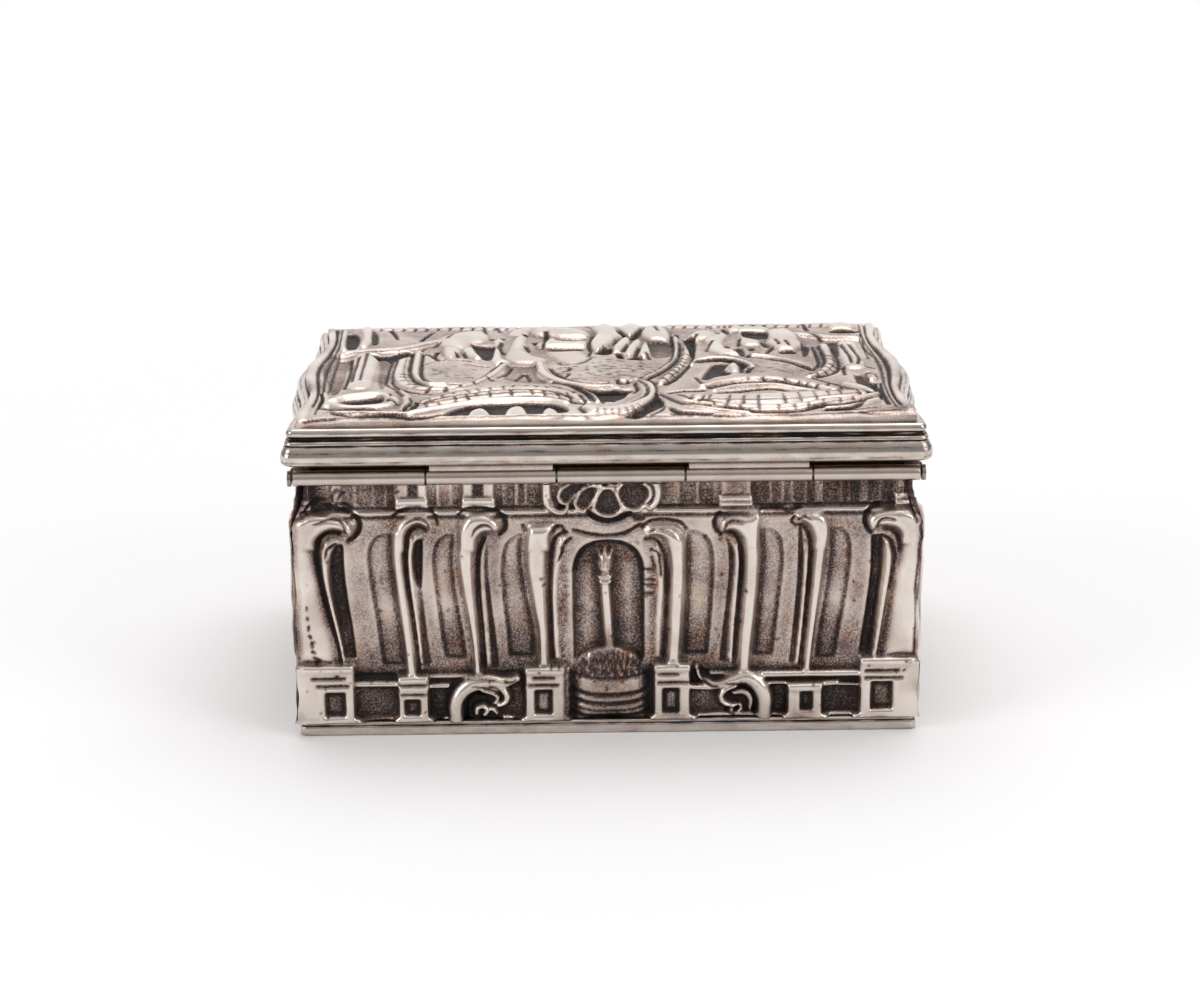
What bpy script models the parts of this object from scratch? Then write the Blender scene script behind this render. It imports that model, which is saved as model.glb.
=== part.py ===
"""Silver snuff box with cast architectural walls, a chased lid and a five-knuckle hinge.

Metres, +Z up. The hinge side faces -Y, and the origin is the middle of the underside.
"""

import math

import bmesh
import bpy
from mathutils import Matrix, Vector

# Driving dimensions of the box
BODY_LENGTH = 0.0714
BODY_DEPTH = 0.0474
WALL_TOP = 0.0309
WALL_THICKNESS = 0.0010
FLOOR_THICKNESS = 0.0010
SEAM = 0.0001

# Relief of the walls and of the lid above their ground, and the lid's cuts below it
RELIEF_HEIGHT = 0.0011
LID_RELIEF_HEIGHT = 0.0006
LID_CUT_DEPTH = 0.0004
RELIEF_SINK = 0.0004
DRAWING_OVERLAP = 0.0008
TRIM_REACH = 0.0040

# Foot strip round the base
FOOT_HEIGHT = 0.0017
FOOT_REACH = 0.0011
FOOT_SEAT = 0.0010

# Rim strip on the walls, as high as the hinge's tube
RIM_REACH = 0.0014

# Inner bezel
BEZEL_THICKNESS = 0.0005
BEZEL_OVERLAP = 0.0040
BEZEL_RISE = 0.0010

# Hinge
TUBE_RADIUS = 0.00092
BORE_RADIUS = 0.00050
PIN_CLEARANCE = 0.00005
TUBE_GAP = 0.00018
KNUCKLE_GAP = 0.00014
LEAF_THICKNESS = 0.0007
CAP_LENGTH = 0.0005
BEARER_THICKNESS = 0.0008
LID_BEARER_HEIGHT = 0.0024

# Lid
LID_OVERHANG = 0.0003
LID_GAP = 0.0006
LID_RIM_HEIGHT = 0.0044
LID_RIM_REACH = 0.00185
LID_RIM_SEAT = 0.0011
LID_THICKNESS = 0.0013
PLATE_STAND = 0.0008
LINING_THICKNESS = 0.0004
SERPENTINE = 0.0008

# Thumbpiece on the front of the lid
THUMB_LENGTH = 0.0110
THUMB_REACH = 0.0017
THUMB_HEIGHT = 0.0016
THUMB_LIFT = 0.0002

# Places that follow from the sizes above
BACK = 0.0
RIGHT = 0.5 * math.pi
FRONT = math.pi
LEFT = 1.5 * math.pi
HALF_LENGTH = BODY_LENGTH / 2
HALF_DEPTH = BODY_DEPTH / 2
WALL_FOOT = FOOT_HEIGHT + SEAM
RIM_FOOT = WALL_TOP + SEAM
RIM_HEIGHT = 2 * TUBE_RADIUS + SEAM
RIM_TOP = RIM_FOOT + RIM_HEIGHT
BEARER_FACE = -HALF_DEPTH + WALL_THICKNESS - BEARER_THICKNESS
TUBE_Z = RIM_FOOT + RIM_HEIGHT / 2
TUBE_Y = BEARER_FACE - TUBE_GAP - TUBE_RADIUS
LEAF_ROOT = (BORE_RADIUS + TUBE_RADIUS) / 2
LID_FOOT = RIM_TOP + LID_GAP
LID_LEDGE = LID_FOOT + LID_RIM_HEIGHT + PLATE_STAND - LID_THICKNESS - SEAM
PLATE_FOOT = LID_LEDGE + SEAM
LID_GROUND = PLATE_FOOT + LID_THICKNESS
LID_HALF_LENGTH = HALF_LENGTH + LID_OVERHANG
LID_HALF_DEPTH = HALF_DEPTH + LID_OVERHANG

# Counts, and the shares that shape small things
ROUND_SIDES = 24
WAVE_STATIONS = 20
DOME_SIDES = 8
DOME_RINGS = 4
CREST_SHARE = 0.5
WAIST_SHARE = 0.58
CAP_TAPER_SHARE = 0.7
CORNER_TAPER_SHARE = 0.12
WINDOW_DEPTH_SHARE = 0.35
LONGEST_ROUNDED = 5
ROUNDED_STEPS = 2

# The wall drawings lie on a grid: so many columns along a wall, and so many rows up to its top
LONG_COLUMNS = 73
SHORT_COLUMNS = 49
WALL_ROWS = 31
LID_COLUMNS = 72
LID_ROWS = 48

# Strips that lean as they rise: bay, foot left, foot right, head left, head right, height
STRIP_SHARES = (
    ("corner", -36.5, -32.1, -36.9, -34.2, 1.45),
    ("corner", -31.9, -31.1, -34.1, -32.5, 0.85),
    ("corner", -29.5, -27.2, -30.9, -28.3, 0.50),
    ("middle", -26.4, -24.3, -27.6, -25.7, 0.42),
    ("middle", -23.4, -22.2, -25.0, -23.4, 1.25),
    ("middle", -21.0, -19.7, -21.9, -20.8, 0.52),
    ("middle", -18.9, -16.7, -20.1, -18.2, 0.42),
    ("middle", -16.1, -14.8, -17.8, -15.3, 1.25),
    ("centre", -13.1, -11.9, -14.0, -12.5, 0.60),
    ("centre", -11.2, -9.1, -12.0, -10.4, 0.42),
    ("centre", -8.5, -6.7, -9.8, -6.9, 1.35),
    ("centre", -6.2, -5.4, -6.5, -5.6, 0.70),
    ("centre", 6.6, 8.9, 6.9, 9.4, 1.35),
    ("centre", 9.6, 11.3, 10.1, 12.1, 0.42),
    ("centre", 12.2, 13.4, 12.9, 14.1, 0.60),
    ("middle", 15.1, 17.1, 15.7, 18.1, 1.25),
    ("middle", 17.8, 19.3, 18.5, 20.4, 0.42),
    ("middle", 20.2, 21.3, 21.2, 22.3, 0.52),
    ("middle", 22.8, 24.0, 23.9, 25.9, 1.25),
    ("middle", 25.4, 26.7, 26.4, 28.1, 0.42),
    ("corner", 27.6, 29.6, 28.9, 30.9, 0.50),
    ("corner", 31.2, 32.0, 32.5, 33.7, 0.85),
    ("corner", 32.3, 35.7, 34.0, 36.8, 1.45),
)
STRIP_LEVEL_SHARES = (8.1, 13.0, 17.8, 21.8, 24.8)
STRIP_LEAN_SHARES = (0.0, 0.3, 0.7, 1.0, 0.9)
STRIP_SWELL_SHARES = (0.72, 0.78, 0.9, 1.0, 0.9)
TALLEST_PANEL_SHARE = 0.55
PANEL_LEVEL_SHARES = (9.1, 13.0, 17.8, 21.4, 23.8)

# Crooks that cap the pilasters: bay, where each rises, where it hooks down, height
CROOK_SHARES = (
    ("corner", -35.9, -30.5, 1.5),
    ("middle", -24.2, -20.9, 1.3),
    ("middle", -17.0, -13.1, 1.3),
    ("centre", -9.0, -5.1, 1.3),
    ("centre", 8.8, 4.6, 1.3),
    ("middle", 17.3, 12.9, 1.3),
    ("middle", 25.4, 22.1, 1.3),
    ("corner", 35.9, 31.0, 1.5),
)
CROOK_PATH_SHARES = ((0.0, 24.2), (0.08, 26.0), (0.48, 26.9), (0.93, 26.1), (0.92, 24.8))
CROOK_WIDTH_SHARES = (1.6, 1.5, 0.7)

# Plinths: bay, left, right, top, and how far the window's sides stand in. Each is a cap, a neck,
# a die and a foot, given as how far they step in, where they start and end, and their height
PLINTH_SHARES = (
    ("corner", -36.7, -30.2, 8.9, 2.1),
    ("middle", -25.0, -21.4, 7.6, 1.0),
    ("centre", -9.9, -4.9, 8.4, 1.5),
    ("centre", 5.3, 9.9, 8.6, 1.4),
    ("middle", 21.2, 25.5, 7.4, 1.4),
    ("corner", 29.8, 36.5, 9.2, 2.1),
)
PLINTH_CAP_SHARE = 0.9
PLINTH_HEAD_SHARE = 2.6
PLINTH_FOOT_SHARE = 2.1
PLINTH_LAP_SHARE = 0.15
PLINTH_WINDOW_SHARE = 0.55
PLINTH_INSET_SHARES = (0.0, 0.45, 0.3, 0.05)
PLINTH_HEIGHT_SHARES = (1.30, 1.00, 1.12, 1.22)

# Plain blocks: bay, left, right, low, high, height
BLOCK_SHARES = (
    ("corner", -36.6, -27.1, 27.1, 27.8, 0.62),
    ("middle", -27.3, -14.2, 27.1, 27.8, 0.60),
    ("centre", -14.3, -7.6, 27.1, 27.8, 0.62),
    ("centre", 7.4, 14.3, 27.1, 27.8, 0.62),
    ("middle", 14.2, 27.3, 27.1, 27.8, 0.60),
    ("corner", 27.1, 36.6, 27.1, 27.8, 0.62),
    ("corner", -34.4, -30.6, 28.3, 30.2, 0.36),
    ("corner", -30.1, -27.6, 28.3, 30.2, 0.36),
    ("middle", -24.6, -20.9, 28.2, 30.5, 0.80),
    ("middle", -19.9, -18.0, 28.3, 30.2, 0.36),
    ("middle", -17.0, -14.6, 28.2, 30.5, 0.80),
    ("centre", -12.2, -8.6, 28.3, 30.2, 0.36),
    ("centre", 8.4, 12.4, 28.3, 30.2, 0.36),
    ("middle", 14.8, 17.0, 28.2, 30.5, 0.80),
    ("middle", 17.6, 20.3, 28.3, 30.2, 0.36),
    ("middle", 20.9, 24.3, 28.3, 30.2, 0.40),
    ("corner", 27.6, 29.6, 28.3, 30.2, 0.36),
    ("corner", 30.4, 33.7, 28.3, 30.2, 0.50),
    ("corner", -30.4, -27.4, 5.9, 6.6, 0.60),
    ("middle", -27.6, -24.8, 5.9, 6.6, 0.62),
    ("middle", 17.8, 27.2, 5.8, 6.5, 0.80),
    ("corner", 27.0, 30.2, 5.9, 6.6, 0.60),
    ("centre", -3.9, 4.1, 2.2, 6.3, 0.70),
    ("centre", -1.2, 0.9, 18.8, 19.8, 0.95),
)
WINDOW_SHARES = (
    ("middle", -23.6, -21.9, 29.0, 30.0),
    ("middle", -16.2, -15.4, 28.9, 30.0),
)

# Ribbons: bay, height, widths at the ends and the middle, then points along the crest
RIBBON_SHARES = (
    ("centre", 0.85, (0.8, 0.9, 0.8), (
        (-4.4, 9.6), (-4.4, 20.0), (-3.4, 22.8), (0.0, 24.1), (3.5, 22.8), (4.6, 20.0), (4.6, 9.6),
    )),
    ("centre", 0.80, (0.9, 0.9, 1.1), ((0.2, 9.4), (0.0, 14.0), (-0.2, 19.2))),
    ("centre", 1.00, (1.1, 1.8, 0.4), ((-0.2, 19.4), (-0.1, 20.9), (0.1, 22.7))),
    ("centre", 1.10, (0.5, 0.8, 0.5), ((-4.0, 5.9), (0.0, 5.2), (4.2, 5.9))),
    ("centre", 1.00, (0.5, 0.8, 0.5), ((-4.0, 3.5), (0.0, 2.8), (4.2, 3.5))),
    ("centre", 0.90, (0.5, 0.9, 0.5), ((-4.2, 25.5), (-2.2, 24.9), (0.0, 24.7), (2.4, 24.9), (4.2, 25.6))),
    ("centre", 1.20, (0.7, 1.3, 0.8), ((-6.4, 30.4), (-7.0, 29.0), (-6.1, 27.8), (-4.8, 27.5), (-4.2, 28.6))),
    ("centre", 1.20, (0.7, 1.3, 0.8), ((5.7, 30.4), (6.7, 29.6), (6.3, 28.2), (5.0, 27.5), (4.3, 28.6))),
    ("leaf_left", 1.30, (1.0, 1.7, 0.5), (
        (-19.2, 2.4), (-19.0, 4.2), (-17.9, 6.0), (-16.2, 7.0), (-13.6, 7.3), (-10.9, 7.0),
    )),
    ("leaf_left", 1.10, (0.7, 1.1, 1.0), (
        (-12.3, 3.4), (-13.3, 5.3), (-15.4, 5.5), (-16.6, 4.1), (-15.5, 2.8),
    )),
    ("leaf_right", 1.30, (1.0, 1.7, 0.5), (
        (19.0, 2.4), (19.1, 4.6), (18.3, 6.5), (16.8, 7.3), (14.2, 7.2), (11.2, 6.6),
    )),
    ("leaf_right", 1.10, (0.7, 1.1, 1.0), ((12.7, 3.4), (13.4, 5.2), (15.3, 5.5), (16.6, 4.2), (15.6, 2.8))),
)
SHELL_ROOT_SHARES = (0.0, 26.3)
SHELL_LOBE_ANGLE_SHARES = (0.13, 0.31, 0.5, 0.69, 0.87)
SHELL_LENGTH_SHARE = 3.9
SHELL_HEIGHT_SHARE = 1.2
SHELL_PLACE_SHARES = (0.15, 0.6, 1.0)
SHELL_WIDTH_SHARES = (0.6, 1.7, 1.2)
MOUND_SHARES = (0.1, 7.6, 4.0, 2.3, 1.15)

# The lid's drawing: height, widths, then points
LID_RIBBON_SHARES = (
    (0.80, (1.6, 5.4, 2.6), (
        (-22.6, -19.2), (-20.4, -16.2), (-18.0, -14.3), (-15.0, -12.6), (-12.0, -11.7), (-9.0, -11.5),
        (-6.5, -12.3), (-4.5, -14.0), (-2.4, -16.6),
    )),
    (0.75, (1.2, 1.3, 1.0), (
        (-22.8, -21.4), (-20.8, -19.8), (-18.6, -18.3), (-16.0, -16.8), (-13.0, -15.8), (-10.0, -15.4),
        (-7.0, -15.9), (-4.6, -17.6),
    )),
    (0.70, (1.2, 1.7, 1.2), ((-32.2, -20.9), (-29.6, -21.2), (-26.0, -21.6), (-23.2, -21.8))),
    (0.83, (1.5, 1.5, 1.5), (
        (-32.4, -15.6), (-32.6, -17.2), (-30.4, -18.9), (-27.2, -18.8), (-25.2, -17.2), (-25.4, -14.4),
        (-27.4, -12.6), (-30.6, -13.6),
    )),
    (0.96, (1.3, 2.4, 3.8), (
        (3.9, -7.4), (5.2, -9.6), (5.6, -13.0), (4.9, -16.8), (3.2, -19.9), (1.4, -21.2), (-1.8, -21.0),
    )),
    (0.83, (1.6, 2.4, 1.4), (
        (-8.0, 2.2), (-7.5, -2.8), (-6.2, -6.4), (-4.0, -8.8), (-1.4, -10.2), (0.8, -10.0),
    )),
    (0.80, (0.8, 0.8, 0.8), ((9.5, 17.0), (9.4, 9.0), (8.9, 3.2), (7.8, -0.4), (6.4, -3.4), (4.8, -6.1))),
    (0.67, (1.7, 1.7, 1.8), ((10.6, 5.6), (10.0, 2.0), (9.2, -1.5), (8.0, -5.0), (6.9, -8.4))),
    (0.63, (2.2, 2.5, 1.4), (
        (-25.2, 4.4), (-25.3, 0.0), (-25.0, -5.0), (-23.8, -8.8), (-21.5, -10.5), (-19.0, -10.2),
        (-16.5, -8.6), (-14.6, -5.6), (-13.2, -2.0), (-12.2, 1.6),
    )),
    (0.80, (0.9, 0.9, 0.6), ((-23.3, 8.4), (-23.3, 0.0), (-22.9, -5.0), (-21.6, -7.8))),
    (0.88, (2.0, 2.8, 1.8), (
        (-33.2, 7.0), (-31.4, 8.6), (-28.5, 9.4), (-25.6, 10.2), (-23.0, 12.2), (-20.8, 14.4),
    )),
    (0.67, (1.2, 1.2, 1.0), ((-33.9, 21.0), (-33.8, 15.0), (-33.0, 10.0))),
    (0.75, (1.6, 1.8, 1.2), ((-30.8, 22.0), (-30.2, 17.0), (-30.6, 12.0))),
    (0.88, (1.2, 1.7, 1.2), (
        (10.8, 0.4), (12.0, 2.6), (14.0, 3.5), (16.3, 2.7), (17.9, 0.5), (18.4, -1.6), (17.4, -3.2),
    )),
    (0.88, (1.4, 2.3, 1.8), (
        (11.8, -10.6), (14.2, -8.6), (17.0, -7.3), (20.0, -7.1), (22.4, -8.2), (24.6, -10.2), (27.4, -12.8),
    )),
    (0.67, (3.4, 5.2, 2.2), (
        (11.4, -15.6), (14.6, -15.8), (18.0, -15.9), (22.0, -15.6), (26.0, -14.8), (30.6, -13.6),
    )),
    (0.88, (1.6, 2.7, 1.4), (
        (9.4, -17.6), (12.4, -19.2), (15.0, -20.0), (18.0, -20.5), (21.0, -20.5), (24.0, -19.6),
        (27.0, -18.0), (30.0, -16.8), (32.4, -15.2),
    )),
    (0.70, (1.4, 1.6, 1.0), ((6.9, -14.2), (8.2, -17.2), (10.0, -19.4), (13.0, -21.2))),
    (0.67, (1.9, 1.9, 1.4), ((28.3, 10.0), (28.3, 2.0), (27.8, -1.5), (26.6, -4.4), (25.2, -6.0))),
    (0.70, (0.9, 0.9, 0.8), ((18.6, 5.6), (22.4, 3.0), (26.0, -2.2))),
    (0.92, (1.8, 2.6, 2.0), ((24.6, 16.2), (27.0, 15.6), (29.4, 14.2), (33.0, 13.2))),
    (0.45, (2.4, 2.4, 2.4), ((-29.0, 22.0), (-19.0, 22.0), (-9.0, 22.0))),
    (0.45, (2.4, 2.4, 2.4), ((9.4, 22.0), (19.4, 22.0), (29.4, 22.0))),
)
# Domes, for the medallions and then for petals and balls: x, y, half length, half width, height
LID_DOME_SHARES = (
    (1.5, 1.3, 7.0, 7.0, 0.66),
    (-18.3, 0.0, 4.0, 5.4, 0.58),
    (21.5, -2.0, 3.8, 3.6, 0.42),
    (-18.1, 14.7, 3.5, 5.1, 1.15),
    (-19.2, 7.7, 1.3, 3.0, 1.05),
    (-16.6, 7.2, 1.3, 2.9, 1.00),
    (-13.2, 8.1, 1.1, 6.7, 0.90),
    (-10.6, 9.5, 2.2, 7.6, 0.90),
    (-10.5, 19.4, 1.9, 2.8, 0.80),
    (-5.5, 18.0, 4.2, 3.4, 1.40),
    (-5.0, 11.9, 3.5, 2.7, 1.25),
    (-4.4, 5.4, 3.0, 3.7, 0.75),
    (0.3, 15.0, 2.1, 7.4, 1.50),
    (3.8, 19.0, 1.7, 3.5, 1.35),
    (7.1, 17.2, 2.1, 4.5, 1.35),
    (2.4, 10.6, 1.1, 4.1, 1.28),
    (3.9, 9.2, 1.1, 4.6, 1.20),
    (5.3, 8.2, 0.9, 4.6, 1.17),
    (13.2, 15.4, 2.3, 2.9, 1.15),
    (15.0, 11.0, 1.7, 6.4, 0.95),
    (17.4, 14.4, 1.2, 4.6, 0.90),
    (20.0, 19.4, 2.6, 1.9, 0.95),
    (23.4, 13.0, 2.4, 5.8, 1.35),
    (31.5, 20.5, 2.0, 2.0, 0.96),
    (2.3, -7.4, 1.2, 1.2, 0.96),
)
LID_BLOCK_SHARES = (
    (-31.6, -28.0, -8.6, 7.6, 0.70),
    (29.8, 32.6, -1.4, 11.0, 0.70),
)
LID_CUT_SHARES = (
    (-31.0, -27.2, -17.4, -15.0),
    (-18.0, -16.2, -22.3, -18.8),
    (-13.5, -11.9, -22.3, -17.3),
    (-9.2, -7.6, -22.3, -17.3),
    (-1.7, 2.4, -14.0, -11.6),
    (12.6, 14.6, -5.6, -1.0),
    (15.4, 21.4, -13.2, -11.4),
    (-28.0, -24.6, 5.0, 7.4),
)

# Outlines of the strips that are drawn to a profile, as shares of their reach and height
LID_RIM_SHARES = (
    (0.65, 0.0), (0.9, 0.08), (1.0, 0.25), (0.92, 0.45), (0.73, 0.55), (0.7, 0.68),
    (0.41, 0.7), (0.38, 0.8), (0.57, 0.84), (0.59, 0.94), (0.38, 1.0),
)
FOOT_SHARES = ((0.85, 0.0), (1.0, 0.15), (1.0, 0.6), (0.8, 0.9), (0.5, 1.0))
RIM_SHARES = ((0.55, 0.0), (0.87, 0.17), (1.0, 0.45), (0.93, 0.75), (0.6, 1.0))

# Where the hinge's tube is parted, from its left end to its right end
KNUCKLE_SEAM_SHARES = (0.0, 0.212, 0.42, 0.625, 0.828, 1.0)


def clear_scene():
    for obj in list(bpy.data.objects):
        bpy.data.objects.remove(obj, do_unlink=True)


def metal(name, colour, roughness):
    material = bpy.data.materials.new(name)
    material.use_nodes = True
    shader = material.node_tree.nodes["Principled BSDF"]
    shader.inputs["Base Color"].default_value = (*colour, 1.0)
    shader.inputs["Metallic"].default_value = 1.0
    shader.inputs["Roughness"].default_value = roughness
    return material


def object_of(name, mesh, material, location=(0, 0, 0), rotation=(0, 0, 0), parent=None):
    """Links a mesh as a named piece, in the world or under the lid's axis."""
    obj = bpy.data.objects.new(name, mesh)
    bpy.context.scene.collection.objects.link(obj)
    if not mesh.materials:
        mesh.materials.append(material)
    obj.rotation_euler = rotation
    obj.location = Vector(location)
    if parent:
        obj.parent = parent
        obj.location -= parent.location
    return obj


def mesh_of(name, bm):
    bmesh.ops.recalc_face_normals(bm, faces=bm.faces)
    mesh = bpy.data.meshes.new(name)
    bm.to_mesh(mesh)
    bm.free()
    return mesh


def sweep(bm, rings):
    """Extrudes a closed outline through the places in rings, and caps both ends."""
    verts = [bm.verts.new(place) for place in rings[0]]
    caps = [bm.faces.new(verts)]
    for ring in rings[1:]:
        edges = [bm.edges.get((verts[i - 1], verts[i])) for i in range(len(verts))]
        made = bmesh.ops.extrude_edge_only(bm, edges=edges)["geom"]
        fresh = {item for item in made if isinstance(item, bmesh.types.BMVert)}
        verts = [
            next(edge.other_vert(vert) for edge in vert.link_edges if edge.other_vert(vert) in fresh)
            for vert in verts
        ]
        for vert, place in zip(verts, ring):
            vert.co = place
    caps.append(bm.faces.new(verts))
    bmesh.ops.triangulate(bm, faces=caps)


def block(bm, low, high):
    """A box between two corners."""
    low = Vector(low)
    high = Vector(high)
    size = Matrix.Diagonal((*(high - low), 1.0))
    bmesh.ops.create_cube(bm, size=1.0, matrix=Matrix.Translation((low + high) / 2) @ size)


def tapered_block(bm, low, high, taper):
    """A box that narrows towards its top by the taper on each side."""
    base = [(low[0], low[1]), (high[0], low[1]), (high[0], high[1]), (low[0], high[1])]
    top = [
        (low[0] + taper, low[1] + taper), (high[0] - taper, low[1] + taper),
        (high[0] - taper, high[1] - taper), (low[0] + taper, high[1] - taper),
    ]
    sweep(bm, [[(x, y, low[2]) for x, y in base], [(x, y, high[2]) for x, y in top]])


def dome(bm, centre, half_length, half_width, height):
    """Half an ellipsoid above the ground, with its other half in the metal."""
    size = Matrix.Diagonal((half_length, half_width, height, 1.0))
    place = Matrix.Translation((centre[0], centre[1], 0.0))
    bmesh.ops.create_uvsphere(
        bm, u_segments=DOME_SIDES, v_segments=DOME_RINGS, radius=1.0, matrix=place @ size,
    )


def ribbon(bm, points, widths, height, sink):
    """A raised band with sloping sides along points that lie on the ground."""
    points = [Vector(point) for point in points]
    last = len(points) - 1
    rings = []
    for i, point in enumerate(points):
        along = (points[min(i + 1, last)] - points[max(i - 1, 0)]).normalized()
        across = Vector((-along.y, along.x))
        share = 2 * i / last
        start, end = (widths[0], widths[1]) if share < 1 else (widths[1], widths[2])
        half = (start + (end - start) * (share % 1 if share < 2 else 1)) / 2
        rings.append([
            (*(point + across * half), -sink),
            (*(point + across * half * CREST_SHARE), height),
            (*(point - across * half * CREST_SHARE), height),
            (*(point - across * half), -sink),
        ])
    sweep(bm, rings)


def rounded_path(points, steps):
    """Places on a smooth curve through the points, with so many steps between two."""
    points = [Vector(point) for point in points]
    padded = [2 * points[0] - points[1], *points, 2 * points[-1] - points[-2]]
    path = [points[0]]
    for before, start, end, after in zip(padded, padded[1:], padded[2:], padded[3:]):
        for step in range(1, steps + 1):
            t = step / steps
            path.append(
                start
                + (end - before) * (t / 2)
                + (2 * before - 5 * start + 4 * end - after) * (t * t / 2)
                + (3 * start - before - 3 * end + after) * (t ** 3 / 2)
            )
    return path


def carve(name, ground, raised, cutters, trim):
    """One mesh of the ground with what is raised on it, less the cutters, inside the trim block."""
    tools = []
    for part, bm in (("ground", ground), ("raised", raised), ("cut", cutters), ("trim", trim)):
        tool = bpy.data.objects.new(f"{name}_{part}", mesh_of(f"{name}_{part}", bm))
        bpy.context.scene.collection.objects.link(tool)
        tool.hide_render = True
        tool.display_type = "WIRE"
        tools.append(tool)
    base = tools[0]
    for operation, tool in zip(("UNION", "DIFFERENCE", "INTERSECT"), tools[1:]):
        if not tool.data.vertices:
            continue
        join = base.modifiers.new(operation.lower(), "BOOLEAN")
        join.operation = operation
        join.object = tool
        join.use_self = operation == "UNION"
    bpy.context.view_layer.update()
    graph = bpy.context.evaluated_depsgraph_get()
    mesh = bpy.data.meshes.new_from_object(base.evaluated_get(graph))
    mesh.name = name
    mesh.materials.clear()
    for tool in tools:
        bpy.data.objects.remove(tool, do_unlink=True)
    return mesh


def bay_shift(bay, columns):
    """How far a bay of the long wall's drawing moves in on a shorter wall, or None where it is left out."""
    if bay == "corner":
        return (LONG_COLUMNS - columns) / 2
    if bay == "centre" or columns == LONG_COLUMNS:
        return 0.0
    return None


def in_bay(bay, u, columns):
    shift = bay_shift(bay, columns)
    return u + shift if u < 0 else u - shift


def wall_relief(columns, step, row):
    """What is raised on a wall's ground, and what is cut into it, in the wall's own plane."""
    raised = bmesh.new()
    cutters = bmesh.new()

    def kept(rows):
        return [entry for entry in rows if bay_shift(entry[0], columns) is not None]

    for bay, foot_left, foot_right, head_left, head_right, height in kept(STRIP_SHARES):
        panel = height < TALLEST_PANEL_SHARE
        levels = PANEL_LEVEL_SHARES if panel else STRIP_LEVEL_SHARES
        rings = []
        for level, lean, swell in zip(levels, STRIP_LEAN_SHARES, STRIP_SWELL_SHARES):
            left = in_bay(bay, foot_left + (head_left - foot_left) * lean, columns) * step
            right = in_bay(bay, foot_right + (head_right - foot_right) * lean, columns) * step
            inset = (right - left) * CREST_SHARE / 2
            crest = height * swell * RELIEF_HEIGHT
            rings.append([
                (left, level * row, -RELIEF_SINK),
                (left + inset, level * row, crest),
                (right - inset, level * row, crest),
                (right, level * row, -RELIEF_SINK),
            ])
        sweep(raised, rings)
    for bay, rise, hook, height in kept(CROOK_SHARES):
        path = [
            (in_bay(bay, rise + (hook - rise) * u, columns) * step, v * row) for u, v in CROOK_PATH_SHARES
        ]
        widths = [width * step for width in CROOK_WIDTH_SHARES]
        ribbon(raised, path, widths, height * RELIEF_HEIGHT, RELIEF_SINK)
    for bay, left, right, top, stand in kept(PLINTH_SHARES):
        left = in_bay(bay, left, columns)
        right = in_bay(bay, right, columns)
        cap_foot = top - PLINTH_CAP_SHARE
        die_top = top - PLINTH_HEAD_SHARE
        stages = (
            (cap_foot, top),
            (die_top - PLINTH_LAP_SHARE, cap_foot + PLINTH_LAP_SHARE),
            (PLINTH_FOOT_SHARE, die_top),
            ((WALL_FOOT - SEAM) / row, PLINTH_FOOT_SHARE + PLINTH_LAP_SHARE),
        )
        for (low, high), inset, height in zip(stages, PLINTH_INSET_SHARES, PLINTH_HEIGHT_SHARES):
            tapered_block(
                raised,
                ((left + inset) * step, low * row, -RELIEF_SINK * (1 + inset)),
                ((right - inset) * step, high * row, height * RELIEF_HEIGHT),
                CORNER_TAPER_SHARE * step,
            )
        sill = PLINTH_FOOT_SHARE + PLINTH_WINDOW_SHARE
        block(
            cutters,
            ((left + stand) * step, sill * row, WINDOW_DEPTH_SHARE * RELIEF_HEIGHT),
            ((right - stand) * step, (die_top - PLINTH_WINDOW_SHARE) * row, TRIM_REACH),
        )
    for bay, left, right, low, high, height in kept(BLOCK_SHARES):
        tapered_block(
            raised,
            (in_bay(bay, left, columns) * step, low * row, -RELIEF_SINK),
            (in_bay(bay, right, columns) * step, high * row, height * RELIEF_HEIGHT),
            CORNER_TAPER_SHARE * step,
        )
    for bay, left, right, low, high in kept(WINDOW_SHARES):
        block(
            cutters,
            (in_bay(bay, left, columns) * step, low * row, WINDOW_DEPTH_SHARE * RELIEF_HEIGHT),
            (in_bay(bay, right, columns) * step, high * row, TRIM_REACH),
        )
    for bay, height, widths, points in RIBBON_SHARES:
        if bay != "centre" and columns != LONG_COLUMNS:
            continue
        path = [(u * step, v * row) for u, v in points]
        ribbon(raised, path, [width * step for width in widths], height * RELIEF_HEIGHT, RELIEF_SINK)
    root = Vector((SHELL_ROOT_SHARES[0] * step, SHELL_ROOT_SHARES[1] * row))
    for share in SHELL_LOBE_ANGLE_SHARES:
        out = Vector((math.cos(math.pi * share) * step, math.sin(math.pi * share) * row)) * SHELL_LENGTH_SHARE
        lobe = [root + out * place for place in SHELL_PLACE_SHARES]
        widths = [width * step for width in SHELL_WIDTH_SHARES]
        ribbon(raised, lobe, widths, SHELL_HEIGHT_SHARE * RELIEF_HEIGHT, RELIEF_SINK)
    u, v, half_u, half_v, height = MOUND_SHARES
    dome(raised, (u * step, v * row), half_u * step, half_v * row, height * RELIEF_HEIGHT)
    return raised, cutters


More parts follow.
